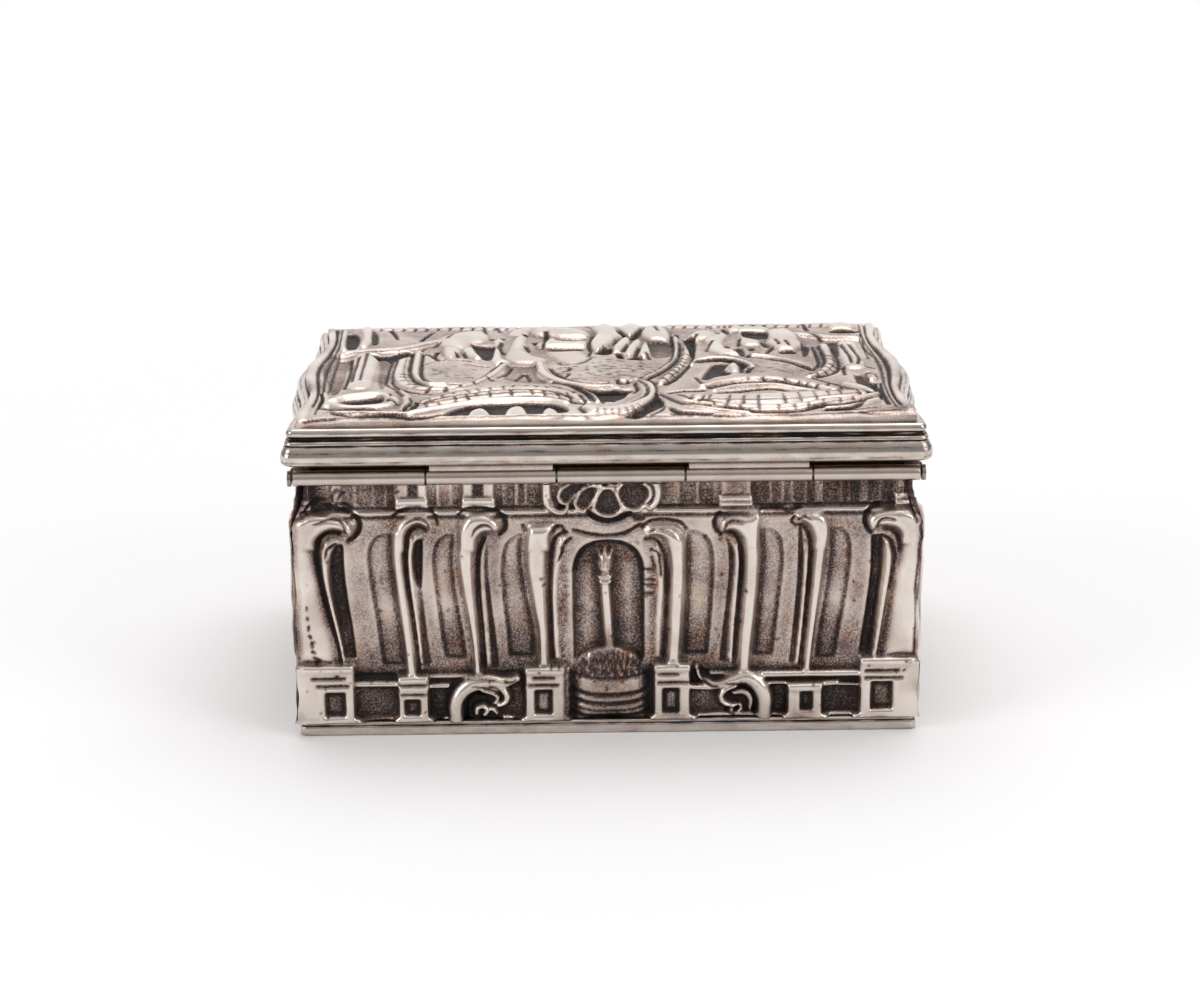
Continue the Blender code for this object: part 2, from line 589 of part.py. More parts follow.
def wall_mesh(name, length, columns):
    """A wall lying flat, seen from outside: X along it, Y up it, Z out of it, cut to a mitre at both ends."""
    half = length / 2
    step = (length + 2 * DRAWING_OVERLAP) / columns
    row = WALL_TOP / WALL_ROWS
    ground = bmesh.new()
    block(ground, (-half - TRIM_REACH, 0, -WALL_THICKNESS), (half + TRIM_REACH, WALL_TOP + TRIM_REACH, 0))
    raised, cutters = wall_relief(columns, step, row)
    trim = bmesh.new()
    rings = []
    for height in (-WALL_THICKNESS - SEAM, TRIM_REACH / 2):
        end = half + height - SEAM
        corners = ((-end, WALL_FOOT), (end, WALL_FOOT), (end, WALL_TOP), (-end, WALL_TOP))
        rings.append([(*corner, height) for corner in corners])
    sweep(trim, rings)
    return carve(name, ground, raised, cutters, trim)


def wave(share):
    """How far the serpentine sides of the lid stand out, from the middle, 0, to a corner, 1."""
    share = min(abs(share), 1.0)
    if share < WAIST_SHARE:
        return SERPENTINE * math.cos(math.pi * share / WAIST_SHARE)
    return -SERPENTINE * (1 + math.cos(math.pi * (share - WAIST_SHARE) / (1 - WAIST_SHARE))) / 2


def strip_mesh(name, half_length, profile, waved=False, square_end=None):
    """A strip drawn to a profile of (reach, height) points, mitred, and waved on its outer side if asked."""
    bm = bmesh.new()
    stations = WAVE_STATIONS if waved else 1
    rings = []
    for i in range(stations + 1):
        share = 2 * i / stations - 1
        ring = []
        for reach, height in profile:
            end = half_length + reach - SEAM / 2
            if square_end is not None and share < 0:
                end = square_end
            swing = wave(share) if waved and reach > 0 else 0.0
            ring.append((share * end, -reach - swing, height))
        rings.append(ring)
    sweep(bm, rings)
    return mesh_of(name, bm)


def on_side(angle, reach):
    """Location of a side's plane, so far from the middle."""
    return Matrix.Rotation(angle, 3, "Z") @ Vector((0, -reach, 0))


def add_walls(material):
    long_mesh = wall_mesh("long_wall", BODY_LENGTH, LONG_COLUMNS)
    short_mesh = wall_mesh("short_wall", BODY_DEPTH, SHORT_COLUMNS)
    for name, angle, reach, mesh in (
        ("wall_back", BACK, HALF_DEPTH, long_mesh),
        ("wall_front", FRONT, HALF_DEPTH, long_mesh),
        ("wall_left", LEFT, HALF_LENGTH, short_mesh),
        ("wall_right", RIGHT, HALF_LENGTH, short_mesh),
    ):
        object_of(name, mesh, material, on_side(angle, reach), (RIGHT, 0, angle))


def add_base(silver, gilt):
    inner_length = HALF_LENGTH - FOOT_SEAT - SEAM
    inner_depth = HALF_DEPTH - FOOT_SEAT - SEAM
    bm = bmesh.new()
    block(bm, (-inner_length, -inner_depth, 0), (inner_length, inner_depth, FLOOR_THICKNESS))
    object_of("base_plate", mesh_of("base_plate", bm), gilt)
    profile = [(reach * FOOT_REACH, height * FOOT_HEIGHT) for reach, height in FOOT_SHARES]
    profile += [(-FOOT_SEAT, FOOT_HEIGHT), (-FOOT_SEAT, 0)]
    add_strips("foot_rim", profile, silver, HALF_LENGTH, HALF_DEPTH, 0)


def add_strips(
    name, profile, material, half_length, half_depth, foot,
    sides=("back", "front", "left", "right"), waved=False, parent=None, square_end=None,
):
    """Mitred strips round the box, with the side ones waved where the lid's outline is."""
    for side, angle, half, reach in (
        ("back", BACK, half_length, half_depth),
        ("front", FRONT, half_length, half_depth),
        ("left", LEFT, half_depth, half_length),
        ("right", RIGHT, half_depth, half_length),
    ):
        if side not in sides:
            continue
        across = side in ("left", "right")
        mesh = strip_mesh(f"{name}_{side}", half, profile, waved and across, square_end if across else None)
        if side == "left" and square_end is not None:
            mesh.transform(Matrix.Diagonal((-1, 1, 1, 1)))
            mesh.flip_normals()
        place = on_side(angle, reach)
        place.z = foot
        object_of(f"{name}_{side}", mesh, material, place, (0, 0, angle), parent)


def add_rims(silver, gilt):
    profile = [(reach * RIM_REACH, height * RIM_HEIGHT) for reach, height in RIM_SHARES]
    profile += [(-WALL_THICKNESS, RIM_HEIGHT), (-WALL_THICKNESS, 0)]
    back_end = HALF_DEPTH + SEAM - BEARER_THICKNESS
    add_strips(
        "body_rim", profile, silver, HALF_LENGTH, HALF_DEPTH, RIM_FOOT,
        sides=("front", "left", "right"), waved=True, square_end=back_end,
    )
    inner = WALL_THICKNESS + SEAM
    profile = [(0, 0), (0, BEZEL_OVERLAP + RIM_HEIGHT + BEZEL_RISE)]
    profile += [(-BEZEL_THICKNESS, height) for reach, height in reversed(profile)]
    add_strips("bezel", profile, gilt, HALF_LENGTH - inner, HALF_DEPTH - inner, WALL_TOP - BEZEL_OVERLAP)


def knuckle_mesh(name, start, end, leaf_low, leaf_high):
    """A length of tube with the leaf that holds it, with its axis along X through the origin."""
    tube = bmesh.new()
    corners = [(start, 0, BORE_RADIUS), (end, 0, BORE_RADIUS), (end, 0, TUBE_RADIUS), (start, 0, TUBE_RADIUS)]
    verts = [tube.verts.new(corner) for corner in corners]
    edges = [tube.edges.new((verts[i - 1], verts[i])) for i in range(len(verts))]
    bmesh.ops.spin(
        tube, geom=verts + edges, cent=(0, 0, 0), axis=(1, 0, 0),
        angle=2 * math.pi, steps=ROUND_SIDES, use_merge=True,
    )
    leaf = bmesh.new()
    inset = LEAF_THICKNESS / 2
    block(leaf, (start + inset, *leaf_low), (end - inset, *leaf_high))
    return carve(name, tube, leaf, bmesh.new(), bmesh.new())


def add_hinge(silver, steel, lid_axis):
    left = -HALF_LENGTH - RIM_REACH + CAP_LENGTH + SEAM
    length = -2 * left
    seams = [left + share * length for share in KNUCKLE_SEAM_SHARES]
    names = (
        "body_knuckle_left", "lid_knuckle_left", "body_knuckle_centre",
        "lid_knuckle_right", "body_knuckle_right",
    )
    for name, start, end in zip(names, seams, seams[1:]):
        start += KNUCKLE_GAP / 2
        end -= KNUCKLE_GAP / 2
        if name.startswith("lid"):
            low = (-LEAF_THICKNESS / 2, LEAF_ROOT)
            high = (LEAF_THICKNESS / 2, LID_FOOT - TUBE_Z - SEAM)
        else:
            low = (LEAF_ROOT, -LEAF_THICKNESS)
            high = (BEARER_FACE - TUBE_Y - SEAM, LEAF_THICKNESS / 2)
        mesh = knuckle_mesh(name, start, end, low, high)
        parent = lid_axis if name.startswith("lid") else None
        object_of(name, mesh, silver, (0, TUBE_Y, TUBE_Z), parent=parent)
    pin_radius = BORE_RADIUS - PIN_CLEARANCE
    turned = Matrix.Rotation(RIGHT, 4, "Y")
    bm = bmesh.new()
    bmesh.ops.create_cone(
        bm, cap_ends=True, segments=ROUND_SIDES, radius1=pin_radius, radius2=pin_radius,
        depth=length - SEAM, matrix=turned,
    )
    object_of("hinge_pin", mesh_of("hinge_pin", bm), steel, (0, TUBE_Y, TUBE_Z))
    for name, way in (("hinge_cap_left", -1), ("hinge_cap_right", 1)):
        bm = bmesh.new()
        bmesh.ops.create_cone(
            bm, cap_ends=True, segments=ROUND_SIDES, radius1=TUBE_RADIUS,
            radius2=TUBE_RADIUS * CAP_TAPER_SHARE, depth=CAP_LENGTH,
            matrix=Matrix.Rotation(way * RIGHT, 4, "Y"),
        )
        place = (way * (length / 2 + SEAM + CAP_LENGTH / 2), TUBE_Y, TUBE_Z)
        object_of(name, mesh_of(name, bm), silver, place)
    bm = bmesh.new()
    half = HALF_LENGTH - WALL_THICKNESS
    block(bm, (-half, BEARER_FACE, RIM_FOOT), (half, BEARER_FACE + BEARER_THICKNESS, RIM_TOP))
    object_of("hinge_bearer_body", mesh_of("hinge_bearer_body", bm), silver)
    inner = -LID_HALF_DEPTH + LID_RIM_SEAT + SEAM
    half = LID_HALF_LENGTH - LID_RIM_SEAT - SEAM
    top = PLATE_FOOT - 2 * SEAM - LINING_THICKNESS
    bm = bmesh.new()
    block(bm, (-half, inner, top - LID_BEARER_HEIGHT), (half, inner + BEARER_THICKNESS, top))
    bm.transform(Matrix.Translation((0, -TUBE_Y, -TUBE_Z)))
    mesh = mesh_of("hinge_bearer_lid", bm)
    object_of("hinge_bearer_lid", mesh, silver, (0, TUBE_Y, TUBE_Z), parent=lid_axis)


def lid_plate_mesh():
    """The top plate with its relief, with its ground at height zero and its sides waved."""
    step = 2 * LID_HALF_LENGTH / LID_COLUMNS
    row = 2 * LID_HALF_DEPTH / LID_ROWS
    ground = bmesh.new()
    half = LID_HALF_LENGTH + TRIM_REACH
    deep = LID_HALF_DEPTH + TRIM_REACH
    block(ground, (-half, -deep, -LID_THICKNESS), (half, deep, 0))
    raised = bmesh.new()
    for height, widths, points in LID_RIBBON_SHARES:
        path = [(u * step, v * row) for u, v in points]
        if len(points) <= LONGEST_ROUNDED:
            path = rounded_path(path, ROUNDED_STEPS)
        ribbon(raised, path, [width * step for width in widths], height * LID_RELIEF_HEIGHT, RELIEF_SINK)
    for u, v, half_u, half_v, height in LID_DOME_SHARES:
        dome(raised, (u * step, v * row), half_u * step, half_v * row, height * LID_RELIEF_HEIGHT)
    for left, right, low, high, height in LID_BLOCK_SHARES:
        tapered_block(
            raised,
            (left * step, low * row, -RELIEF_SINK),
            (right * step, high * row, height * LID_RELIEF_HEIGHT),
            CORNER_TAPER_SHARE * step,
        )
    cutters = bmesh.new()
    for left, right, low, high in LID_CUT_SHARES:
        block(
            cutters, (left * step, low * row, -LID_CUT_DEPTH),
            (right * step, high * row, TRIM_REACH),
        )
    outline = []
    for way in (1, -1):
        for i in range(WAVE_STATIONS + 1):
            share = 2 * i / WAVE_STATIONS - 1
            outline.append((way * (LID_HALF_LENGTH + wave(share)), way * share * LID_HALF_DEPTH))
    trim = bmesh.new()
    heights = (-LID_THICKNESS - SEAM, TRIM_REACH)
    sweep(trim, [[(x, y, height) for x, y in outline] for height in heights])
    return carve("lid_plate", ground, raised, cutters, trim)


def add_lid(silver, gilt, lid_axis):
    object_of("lid_plate", lid_plate_mesh(), silver, (0, 0, LID_GROUND), parent=lid_axis)
    profile = [(reach * LID_RIM_REACH, height * LID_RIM_HEIGHT) for reach, height in LID_RIM_SHARES]
    profile += [
        (SEAM, LID_RIM_HEIGHT), (SEAM, LID_LEDGE - LID_FOOT),
        (-LID_RIM_SEAT, LID_LEDGE - LID_FOOT), (-LID_RIM_SEAT, 0),
    ]
    add_strips(
        "lid_moulding", profile, silver, LID_HALF_LENGTH, LID_HALF_DEPTH, LID_FOOT,
        waved=True, parent=lid_axis,
    )
    half = LID_HALF_LENGTH - LID_RIM_SEAT - SEAM
    deep = LID_HALF_DEPTH - LID_RIM_SEAT - SEAM
    top = PLATE_FOOT - SEAM
    bm = bmesh.new()
    block(bm, (-half, -deep, top - LINING_THICKNESS), (half, deep, top))
    bm.transform(Matrix.Translation((0, 0, -top)))
    object_of("lid_lining", mesh_of("lid_lining", bm), gilt, (0, 0, top), parent=lid_axis)
    bm = bmesh.new()
    bmesh.ops.create_uvsphere(
        bm, u_segments=ROUND_SIDES, v_segments=DOME_SIDES, radius=1.0,
        matrix=Matrix.Diagonal((THUMB_LENGTH / 2, THUMB_REACH + SEAM, THUMB_HEIGHT / 2, 1.0)),
    )
    cut = bmesh.ops.bisect_plane(
        bm, geom=bm.verts[:] + bm.edges[:] + bm.faces[:], plane_co=(0, SEAM, 0), plane_no=(0, -1, 0),
        clear_outer=True,
    )["geom_cut"]
    bmesh.ops.contextual_create(bm, geom=[item for item in cut if isinstance(item, bmesh.types.BMEdge)])
    place = (0, LID_HALF_DEPTH + LID_RIM_REACH, LID_FOOT + THUMB_LIFT + THUMB_HEIGHT / 2)
    object_of("thumbpiece", mesh_of("thumbpiece", bm), silver, place, parent=lid_axis)


def shade_round_pieces():
    for obj in bpy.data.objects:
        if obj.type == "MESH":
            obj.data.shade_smooth()
            obj.data.set_sharp_from_angle(angle=math.radians(35))


def main():
    clear_scene()
    silver = metal("worn_silver", (0.62, 0.60, 0.58), 0.28)
    gilt = metal("silver_gilt", (0.83, 0.63, 0.32), 0.30)
    steel = metal("hinge_wire", (0.50, 0.49, 0.47), 0.35)
    lid_axis = bpy.data.objects.new("lid_axis", None)
    bpy.context.scene.collection.objects.link(lid_axis)
    lid_axis.location = (0, TUBE_Y, TUBE_Z)
    add_base(silver, gilt)
    add_walls(silver)
    add_rims(silver, gilt)
    add_hinge(silver, steel, lid_axis)
    add_lid(silver, gilt, lid_axis)
    shade_round_pieces()


main()
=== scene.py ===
"""Looks of a worn silver snuff box with cast walls, a chased lid and a knuckle hinge."""

import math

import bmesh
import bpy
import numpy as np
from mathutils import Matrix, Vector


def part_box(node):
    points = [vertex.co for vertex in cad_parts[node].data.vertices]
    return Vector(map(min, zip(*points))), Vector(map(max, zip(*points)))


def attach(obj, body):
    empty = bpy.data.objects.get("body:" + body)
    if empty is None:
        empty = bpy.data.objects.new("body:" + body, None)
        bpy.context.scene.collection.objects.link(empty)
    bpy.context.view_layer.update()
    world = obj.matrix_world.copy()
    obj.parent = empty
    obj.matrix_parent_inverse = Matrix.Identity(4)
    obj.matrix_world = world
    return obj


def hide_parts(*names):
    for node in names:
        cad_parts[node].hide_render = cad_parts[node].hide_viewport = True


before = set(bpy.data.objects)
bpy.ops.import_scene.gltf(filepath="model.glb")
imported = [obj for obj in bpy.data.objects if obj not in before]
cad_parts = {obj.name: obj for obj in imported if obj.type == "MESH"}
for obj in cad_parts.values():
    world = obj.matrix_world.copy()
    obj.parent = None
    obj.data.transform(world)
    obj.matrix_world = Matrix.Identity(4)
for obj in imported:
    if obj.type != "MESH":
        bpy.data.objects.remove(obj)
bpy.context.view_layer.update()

MM = 0.001

# Photograph's frame, and the camera that fits the lid, the hinge and the base in it
PHOTO_WIDTH = 1200
FOCAL_PIXELS = 2708
SENSOR_WIDTH = 36.0
CAMERA_PITCH = math.radians(16.53)
CAMERA_YAW = math.radians(0.62)
CAMERA_ROLL = math.radians(0.44)
CAMERA_DISTANCE = 341.0 * MM
AIM_ALONG = -0.8 * MM
AIM_HEIGHT = 22.3 * MM
NEAR_CLIP = 10.0 * MM

# Around the box: where the paper fades to white, and what the lamps look at
PAPER_FADE = (90.0 * MM, 200.0 * MM)
LAMP_AIM = (0.0, 0.0, 20.0 * MM)

# From here to the materials, lengths are in millimetres, as on the drawings.
# Steps of the drawings' grids, and points along a rail, round a corner of it and round a tube
WALL_PITCH = 0.155
LID_PITCH = 0.19
RAIL_STEPS = 150
CORNER_STEPS = 8
TUBE_STEPS = 64

# Walls: how far their ground stands out from the middle, how far a drawing runs past that, how thick
# they are, the gap left at a corner, how far the outer columns move in on a short wall, and a length
# past any wall's ends
GROUND_LONG = 35.7
GROUND_SHORT = 23.7
WALL_OVERRUN = 1.2
WALL_THICKNESS = 1.0
SEAM = 0.05
SHORT_WALL_INWARD = 12.0
BEYOND_ENDS = 80.0

# Seeds of what is drawn at random
LONG_WALL_SEED = 11
SHORT_WALL_SEED = 31
LID_SEED = 60
THATCH_SEED = 5
FLECK_SEED = 7

# Patina: on a bare crest, and over the whole of a wall and of the lid before anything is cut
BARE_FILM = 0.2
WALL_FILM = 0.22
LID_FILM = 0.14

# Wear, in grid steps: how round crests are rubbed, and how wide the hollows and valleys are that hold
# patina and painted shade
WALL_WORN = 0.75
LID_WORN = 0.55
HOLLOW_RADIUS = 2.5
VALLEY_RADIUS = 9.0

# Heights on a wall, up from the underside: the columns between plinths and cornice, and the frieze
# above
COLUMNS_LOW = 7.3
COLUMNS_HIGH = 27.4
FRIEZE_LOW = 27.8
FRIEZE_CELL_LOW = 28.3
FRIEZE_WINDOW_LOW = 29.5
FRIEZE_HIGH = 31.4

# Levels above a wall's ground. A slope is how far in it runs, and a film how dark it is
COLUMNS_FACE = 0.45
FRIEZE_FACE = 0.3
FRIEZE_CELL = -0.15
FRIEZE_WINDOW = 0.35
CELL_LEVEL = -0.25
CELL_SLOPE = 0.35
CELL_FILM = 0.5
FLUTE_FLOOR = -0.35
FLUTE_CREST = 0.35
CROOK_BASE = 0.1
CROOK_SLOPE = 1.15
SLOPE = 0.3

# Plinths: how far up their foot is, the levels of their face, cap and flared base, how far up the base
# ends, the level of their window, and how high the cap is
PLINTH_FOOT = 1.2
PLINTH_FACE = 1.3
PLINTH_CAP = 1.5
PLINTH_BASE = 1.32
PLINTH_BASE_TOP = 2.2
PLINTH_WINDOW = 0.5
CAP_HEIGHT = 0.85

# Corners: how far in the relief turns into the edge, and how far in, from what height and over what
# height the frieze sinks there
CORNER_RUN = 1.2
CORNER_SINK_RUN = 5.0
CORNER_SINK_LOW = 27.6
CORNER_SINK_RISE = 1.5

# Lid: half the plate's length, its depth, half the drawing's length, how far out the swinging sides
# leave it as it is, how far the ground is above the plate's underside, and the levels of its face and
# of its very edge
LID_HALF = 36.0
LID_DEPTH = 48.0
LID_EDGE = 36.5
LID_STEADY = 33.0
LID_GROUND_RISE = 0.9
LID_FACE = 0.5
LID_LIP = 0.12

# Swing of the lid's sides: how far out they go, and at what share of the half depth they have gone as
# far in
SWING = 0.8
SWING_TURN = 0.58

# Rails: how round their corners are for their reach, the width and depth of their dents, and the width
# of their streaks of patina. Both widths are in steps along the rail
CORNER_BEND = 0.8
DENT_RADIUS = 4.0
DENT_DEPTH = 0.09
STREAK_RADIUS = 1.2

# Hinge: radius of the tubes, of their bore and of a plug's, the rounding of their ends, and the tubes'
# patina
TUBE_RADIUS = 0.92
BORE_RADIUS = 0.50
PLUG_BORE = 0.02
TUBE_ROUNDING = 0.1
PLUG_ROUNDING = 0.32
TUBE_FILM = 0.18

# Leaves that hold the tubes: how far they stop short of a tube's ends, how far from the axis they start
# inside the tube's wall, half their width, and their rounding
LEAF_SHORT = 0.35
LEAF_START = 0.71
LEAF_HALF = 0.35
LEAF_ROUNDING = 0.08

# Thumbpiece: the rounding of its edges, and its patina
THUMB_ROUNDING = 0.45
THUMB_FILM = 0.12

# Sides of the box: name, and turn about Z
SIDES = (("back", 0.0), ("right", 0.5 * math.pi), ("front", math.pi), ("left", 1.5 * math.pi))


def tenths(table):
    """A table written in tenths, as lengths in millimetres and patina from 0 to 1."""
    return tuple(tenths(part) for part in table) if isinstance(table, tuple) else table / 10


def in_pairs(points):
    """The points of a path, which may be written as x, y, x, y and so on."""
    return np.array(points, float).reshape(-1, 2)


def smooth_curve(points, steps=6):
    """Places on a smooth curve through the points."""
    points = np.array(points, float)
    padded = np.vstack([2 * points[0] - points[1], points, 2 * points[-1] - points[-2]])
    t = (np.arange(steps) / steps)[:, None]
    runs = []
    for before, start, end, after in zip(padded, padded[1:], padded[2:], padded[3:]):
        bend = (2 * before - 5 * start + 4 * end - after) * t ** 2
        twist = (3 * start - before - 3 * end + after) * t ** 3
        runs.append(start + ((end - before) * t + bend + twist) / 2)
    return np.vstack(runs + [points[-1:]])


def soften(values, radius):
    """The values averaged over a soft round spot, its radius counted in grid steps."""
    reach = int(math.ceil(3 * radius))
    weights = np.exp(-0.5 * (np.arange(-reach, reach + 1) / radius) ** 2)
    weights /= weights.sum()
    for axis in (0, 1):
        padding = [(0, 0), (0, 0)]
        padding[axis] = (reach, reach)
        padded = np.pad(values, padding, mode="edge")
        size = values.shape[axis]
        values = sum(
            weight * (padded[k:k + size] if axis == 0 else padded[:, k:k + size])
            for k, weight in enumerate(weights)
        )
    return values


def grain(shape, radius, seed):
    """Even random unevenness, of about one unit, whose spots have that radius in grid steps."""
    noise = np.random.default_rng(seed).standard_normal(shape)
    noise = soften(noise, radius)
    return noise / noise.std()


def rise(share):
    """A smooth step from 0 to 1."""
    share = np.clip(share, 0, 1)
    return share * share * (3 - 2 * share)


def rounded(share):
    """The swell of a half-round strip: share is 0 at its edge and 1 on its crest."""
    return np.sqrt(np.clip(1 - (1 - np.clip(share, 0, 1)) ** 2, 0, 1))


def broad(share):
    """A flatter swell, such as worn metal has, with steep sides."""
    return np.clip(1 - (1 - np.clip(share, 0, 1)) ** 3.2, 0, 1)


def crowned(share):
    """A swell between the two: a rounded back with a broad crest."""
    return 1 - (1 - np.clip(share, 0, 1)) ** 2.4


class Relief:
    """Heights above a panel's ground, in millimetres, and its dark patina, to which finishing adds painted
    shade, on an even grid.
    """

    def __init__(self, left, right, low, high, pitch):
        self.pitch = pitch
        self.along = np.linspace(left, right, int(round((right - left) / pitch)) + 1)
        self.up = np.linspace(low, high, int(round((high - low) / pitch)) + 1)
        self.height = np.zeros((len(self.up), len(self.along)))
        self.dark = np.zeros_like(self.height)
        self.inward = 0.0

    def window(self, path, reach):
        """The part of the grid that holds a path and what lies within reach of it, and the places there."""
        low = path.min(axis=0) - reach
        high = path.max(axis=0) + reach
        across = slice(*np.searchsorted(self.along, (low[0], high[0])))
        over = slice(*np.searchsorted(self.up, (low[1], high[1])))
        return (over, across), *np.meshgrid(self.along[across], self.up[over])

    def nearest(self, path, reach):
        """Around a path: its window, the distance to it there, and how far along it is nearest."""
        spot, x, y = self.window(path, reach)
        steps = np.diff(path, axis=0)
        lengths = np.hypot(*steps.T)
        total = max(lengths.sum(), 1e-9)
        best = np.full(x.shape, np.inf)
        share = np.zeros(x.shape)
        done = 0.0
        for start, step, length in zip(path, steps, lengths):
            if length < 1e-9:
                continue
            way = step / length
            run = np.clip((x - start[0]) * way[0] + (y - start[1]) * way[1], 0, length)
            distance = np.hypot(x - start[0] - run * way[0], y - start[1] - run * way[1])
            closer = distance < best
            best[closer] = distance[closer]
            share[closer] = (done + run[closer]) / total
            done += length
        return spot, best, share

    def shifted(self, points):
        """A path's points, moved in towards the middle of a shorter wall."""
        points = in_pairs(points)
        return points - (math.copysign(self.inward, points[:, 0].mean()), 0.0)

    def lift(self, spot, level, share):
        """Raises what is lower to a level and wipes its patina off; the share is 1 on the crest."""
        higher = (share > 0) & (level > self.height[spot])
        self.height[spot] = np.where(higher, level, self.height[spot])
        self.dark[spot] *= np.where(higher, 1 - rise(2.5 * share), 1)

    def strip(self, points, widths, spare=0.0, steps=6):
        """Around a strip along a curve: its window, and how far in each place is, 1 in the middle."""
        path = smooth_curve(self.shifted(points), steps)
        spot, distance, share = self.nearest(path, max(widths) / 2 + 2 * spare)
        half = np.interp(share, np.linspace(0, 1, len(widths)), widths) / 2 + spare
        return spot, 1 - distance / half

    def band(self, points, widths, height, swell=rounded, base=0.0):
        """Raises a band along a curve to a height above the ground."""
        spot, within = self.strip(points, widths)
        self.lift(spot, base + (height - base) * swell(within), within)

    def swelling(self, points, widths, height):
        """Adds a soft ridge, or a soft hollow where the height is negative, to what is there."""
        spot, within = self.strip(points, widths)
        self.height[spot] += height * rise(within)

    def glow(self, points, widths, share):
        """Wipes a share of the patina off a soft strip along a curve."""
        spot, within = self.strip(points, widths)
        self.dark[spot] *= 1 - share * rise(within)

    def line(self, points, widths, depth, dark=1.0, steps=6):
        """Cuts a dark line with sloping sides along a curve."""
        spot, within = self.strip(points, widths, self.pitch / 2, steps)
        cut = rise(1.35 * within)
        self.height[spot] -= depth * cut
        self.dark[spot] = np.maximum(self.dark[spot], dark * cut)

    def inside(self, outline):
        """Around a closed outline: its window, and how far inside it each place is, below 0 outside."""
        closed = np.vstack([outline, outline[:1]])
        spot, distance, _ = self.nearest(closed, self.pitch)
        _, x, y = self.window(closed, self.pitch)
        within = np.zeros(x.shape, bool)
        for (x0, y0), (x1, y1) in zip(closed, closed[1:]):
            if y0 == y1:
                continue
            crosses = (y0 > y) != (y1 > y)
            within ^= crosses & (x < (x1 - x0) * (y - y0) / (y1 - y0) + x0)
        return spot, np.where(within, distance, -distance)

    def field(self, outline, level, edge, dark=0.0, smooth=True):
        """Brings all inside an outline to one level, with sloping edges."""
        outline = self.shifted(outline)
        if smooth:
            outline = smooth_curve(np.vstack([outline, outline[:1]]), 4)[:-1]
        spot, depth = self.inside(outline)
        share = rise(depth / edge + 0.5)
        self.height[spot] += (level - self.height[spot]) * share
        self.dark[spot] += (dark - self.dark[spot]) * share

    def petal(self, outline, height, base, slope=None):
        """Raises a rounded leaf inside an outline, with a broad crest where a slope's width is given."""
        outline = self.shifted(outline)
        spot, depth = self.inside(smooth_curve(np.vstack([outline, outline[:1]]), 4)[:-1])
        share = depth / (slope or depth.max() / 1.15)
        swell = crowned if slope else rounded
        self.lift(spot, base + (height - base) * swell(share), share)

    def between(self, left, right):
        """Between two rising outlines: the window, how far in, the half width, and the share up."""
        left = smooth_curve(self.shifted(left))
        right = smooth_curve(self.shifted(right))
        both = np.vstack([left, right])
        spot, x, y = self.window(both, self.pitch)
        start = np.interp(y, left[:, 1], left[:, 0])
        end = np.interp(y, right[:, 1], right[:, 0])
        low, high = both[:, 1].min(), both[:, 1].max()
        within = np.minimum(np.minimum(x - start, end - x), 1.6 * np.minimum(y - low, high - y))
        half = np.maximum((end - start) / 2, self.pitch)
        return spot, within, half, (y - low) / (high - low)

    def pilaster(self, left, right, height, swell=crowned):
        """Raises a column between two outlines."""
        spot, within, half, _ = self.between(left, right)
        self.lift(spot, height * swell(within / half), within / half)

    def flute(self, left, right, floor, crest):
        """Sinks a panel with a steep lip, leaves a wide convex rib, matted most at its foot, with painted
        shade at its sides.
        """
        spot, within, half, up = self.between(left, right)
        lip = rise(within / 0.2)
        rib = rounded((within - 0.12) / np.maximum(half - 0.12, 0.1))
        level = floor + (crest - floor) * rib
        self.height[spot] += (level - self.height[spot]) * lip
        # The rib's sides, deep in the panel, get patina and painted shade; its foot is matted darker.
        film = 0.14 + 0.5 * rise(1 - up / 0.6) + 0.75 * (1 - rib) ** 2.5
        self.dark[spot] = np.maximum(self.dark[spot], lip * np.clip(film, 0, 1))

    def slot(self, left, right, floor, dark=0.58):
        """Sinks a dark slot between two outlines, with a steep lip."""
        spot, within, _, _ = self.between(left, right)
        lip = rise(within / 0.25)
        self.height[spot] += (floor - self.height[spot]) * lip
        self.dark[spot] = np.maximum(self.dark[spot], dark * lip)

    def block(self, left, right, low, high, level, edge=0.22, dark=0.0):
        """A flat-topped block with sloping sides, or a sunk window where the level is low."""
        corners = ((left, low), (right, low), (right, high), (left, high))
        self.field(corners, level, edge, dark, smooth=False)


# The wall's drawing: how far along from the middle, and how far up from the underside. Tables inside
# tenths() are in tenths of a millimetre and tenths of full patina, and a path in them is written as x,
# y, x, y and so on.
# Fluted panels: left outline, right outline
MIDDLE_FLUTES = tenths((
    ((-268, 86, -272, 130, -277, 170, -281, 205, -281, 228, -274, 243, -262, 250),
     (-239, 86, -241, 120, -246, 155, -250, 190, -253, 220, -253, 250)),
    ((-193, 94, -197, 120, -201, 160, -205, 200, -205, 223, -200, 239, -189, 248),
     (-167, 94, -170, 120, -176, 160, -180, 190, -181, 220, -179, 248)),
    ((172, 94, 175, 130, 178, 170, 181, 210, 180, 249),
     (196, 94, 199, 120, 203, 160, 207, 200, 207, 226, 203, 242, 192, 252)),
    ((246, 90, 250, 130, 255, 160, 260, 200, 262, 225, 263, 249),
     (270, 90, 276, 130, 281, 160, 286, 200, 287, 225, 283, 243, 274, 252)),
))
CENTRE_FLUTES = tenths((
    ((-118, 96, -120, 130, -123, 160, -125, 200, -123, 224, -117, 239, -104, 248),
     (-86, 96, -86, 120, -89, 142, -94, 165, -98, 190, -101, 220, -99, 248)),
    ((89, 96, 91, 140, 93, 180, 93, 220, 94, 249), (119, 96, 122, 130, 124, 160, 126, 200, 125, 223, 119,
      240, 104, 250)),
))

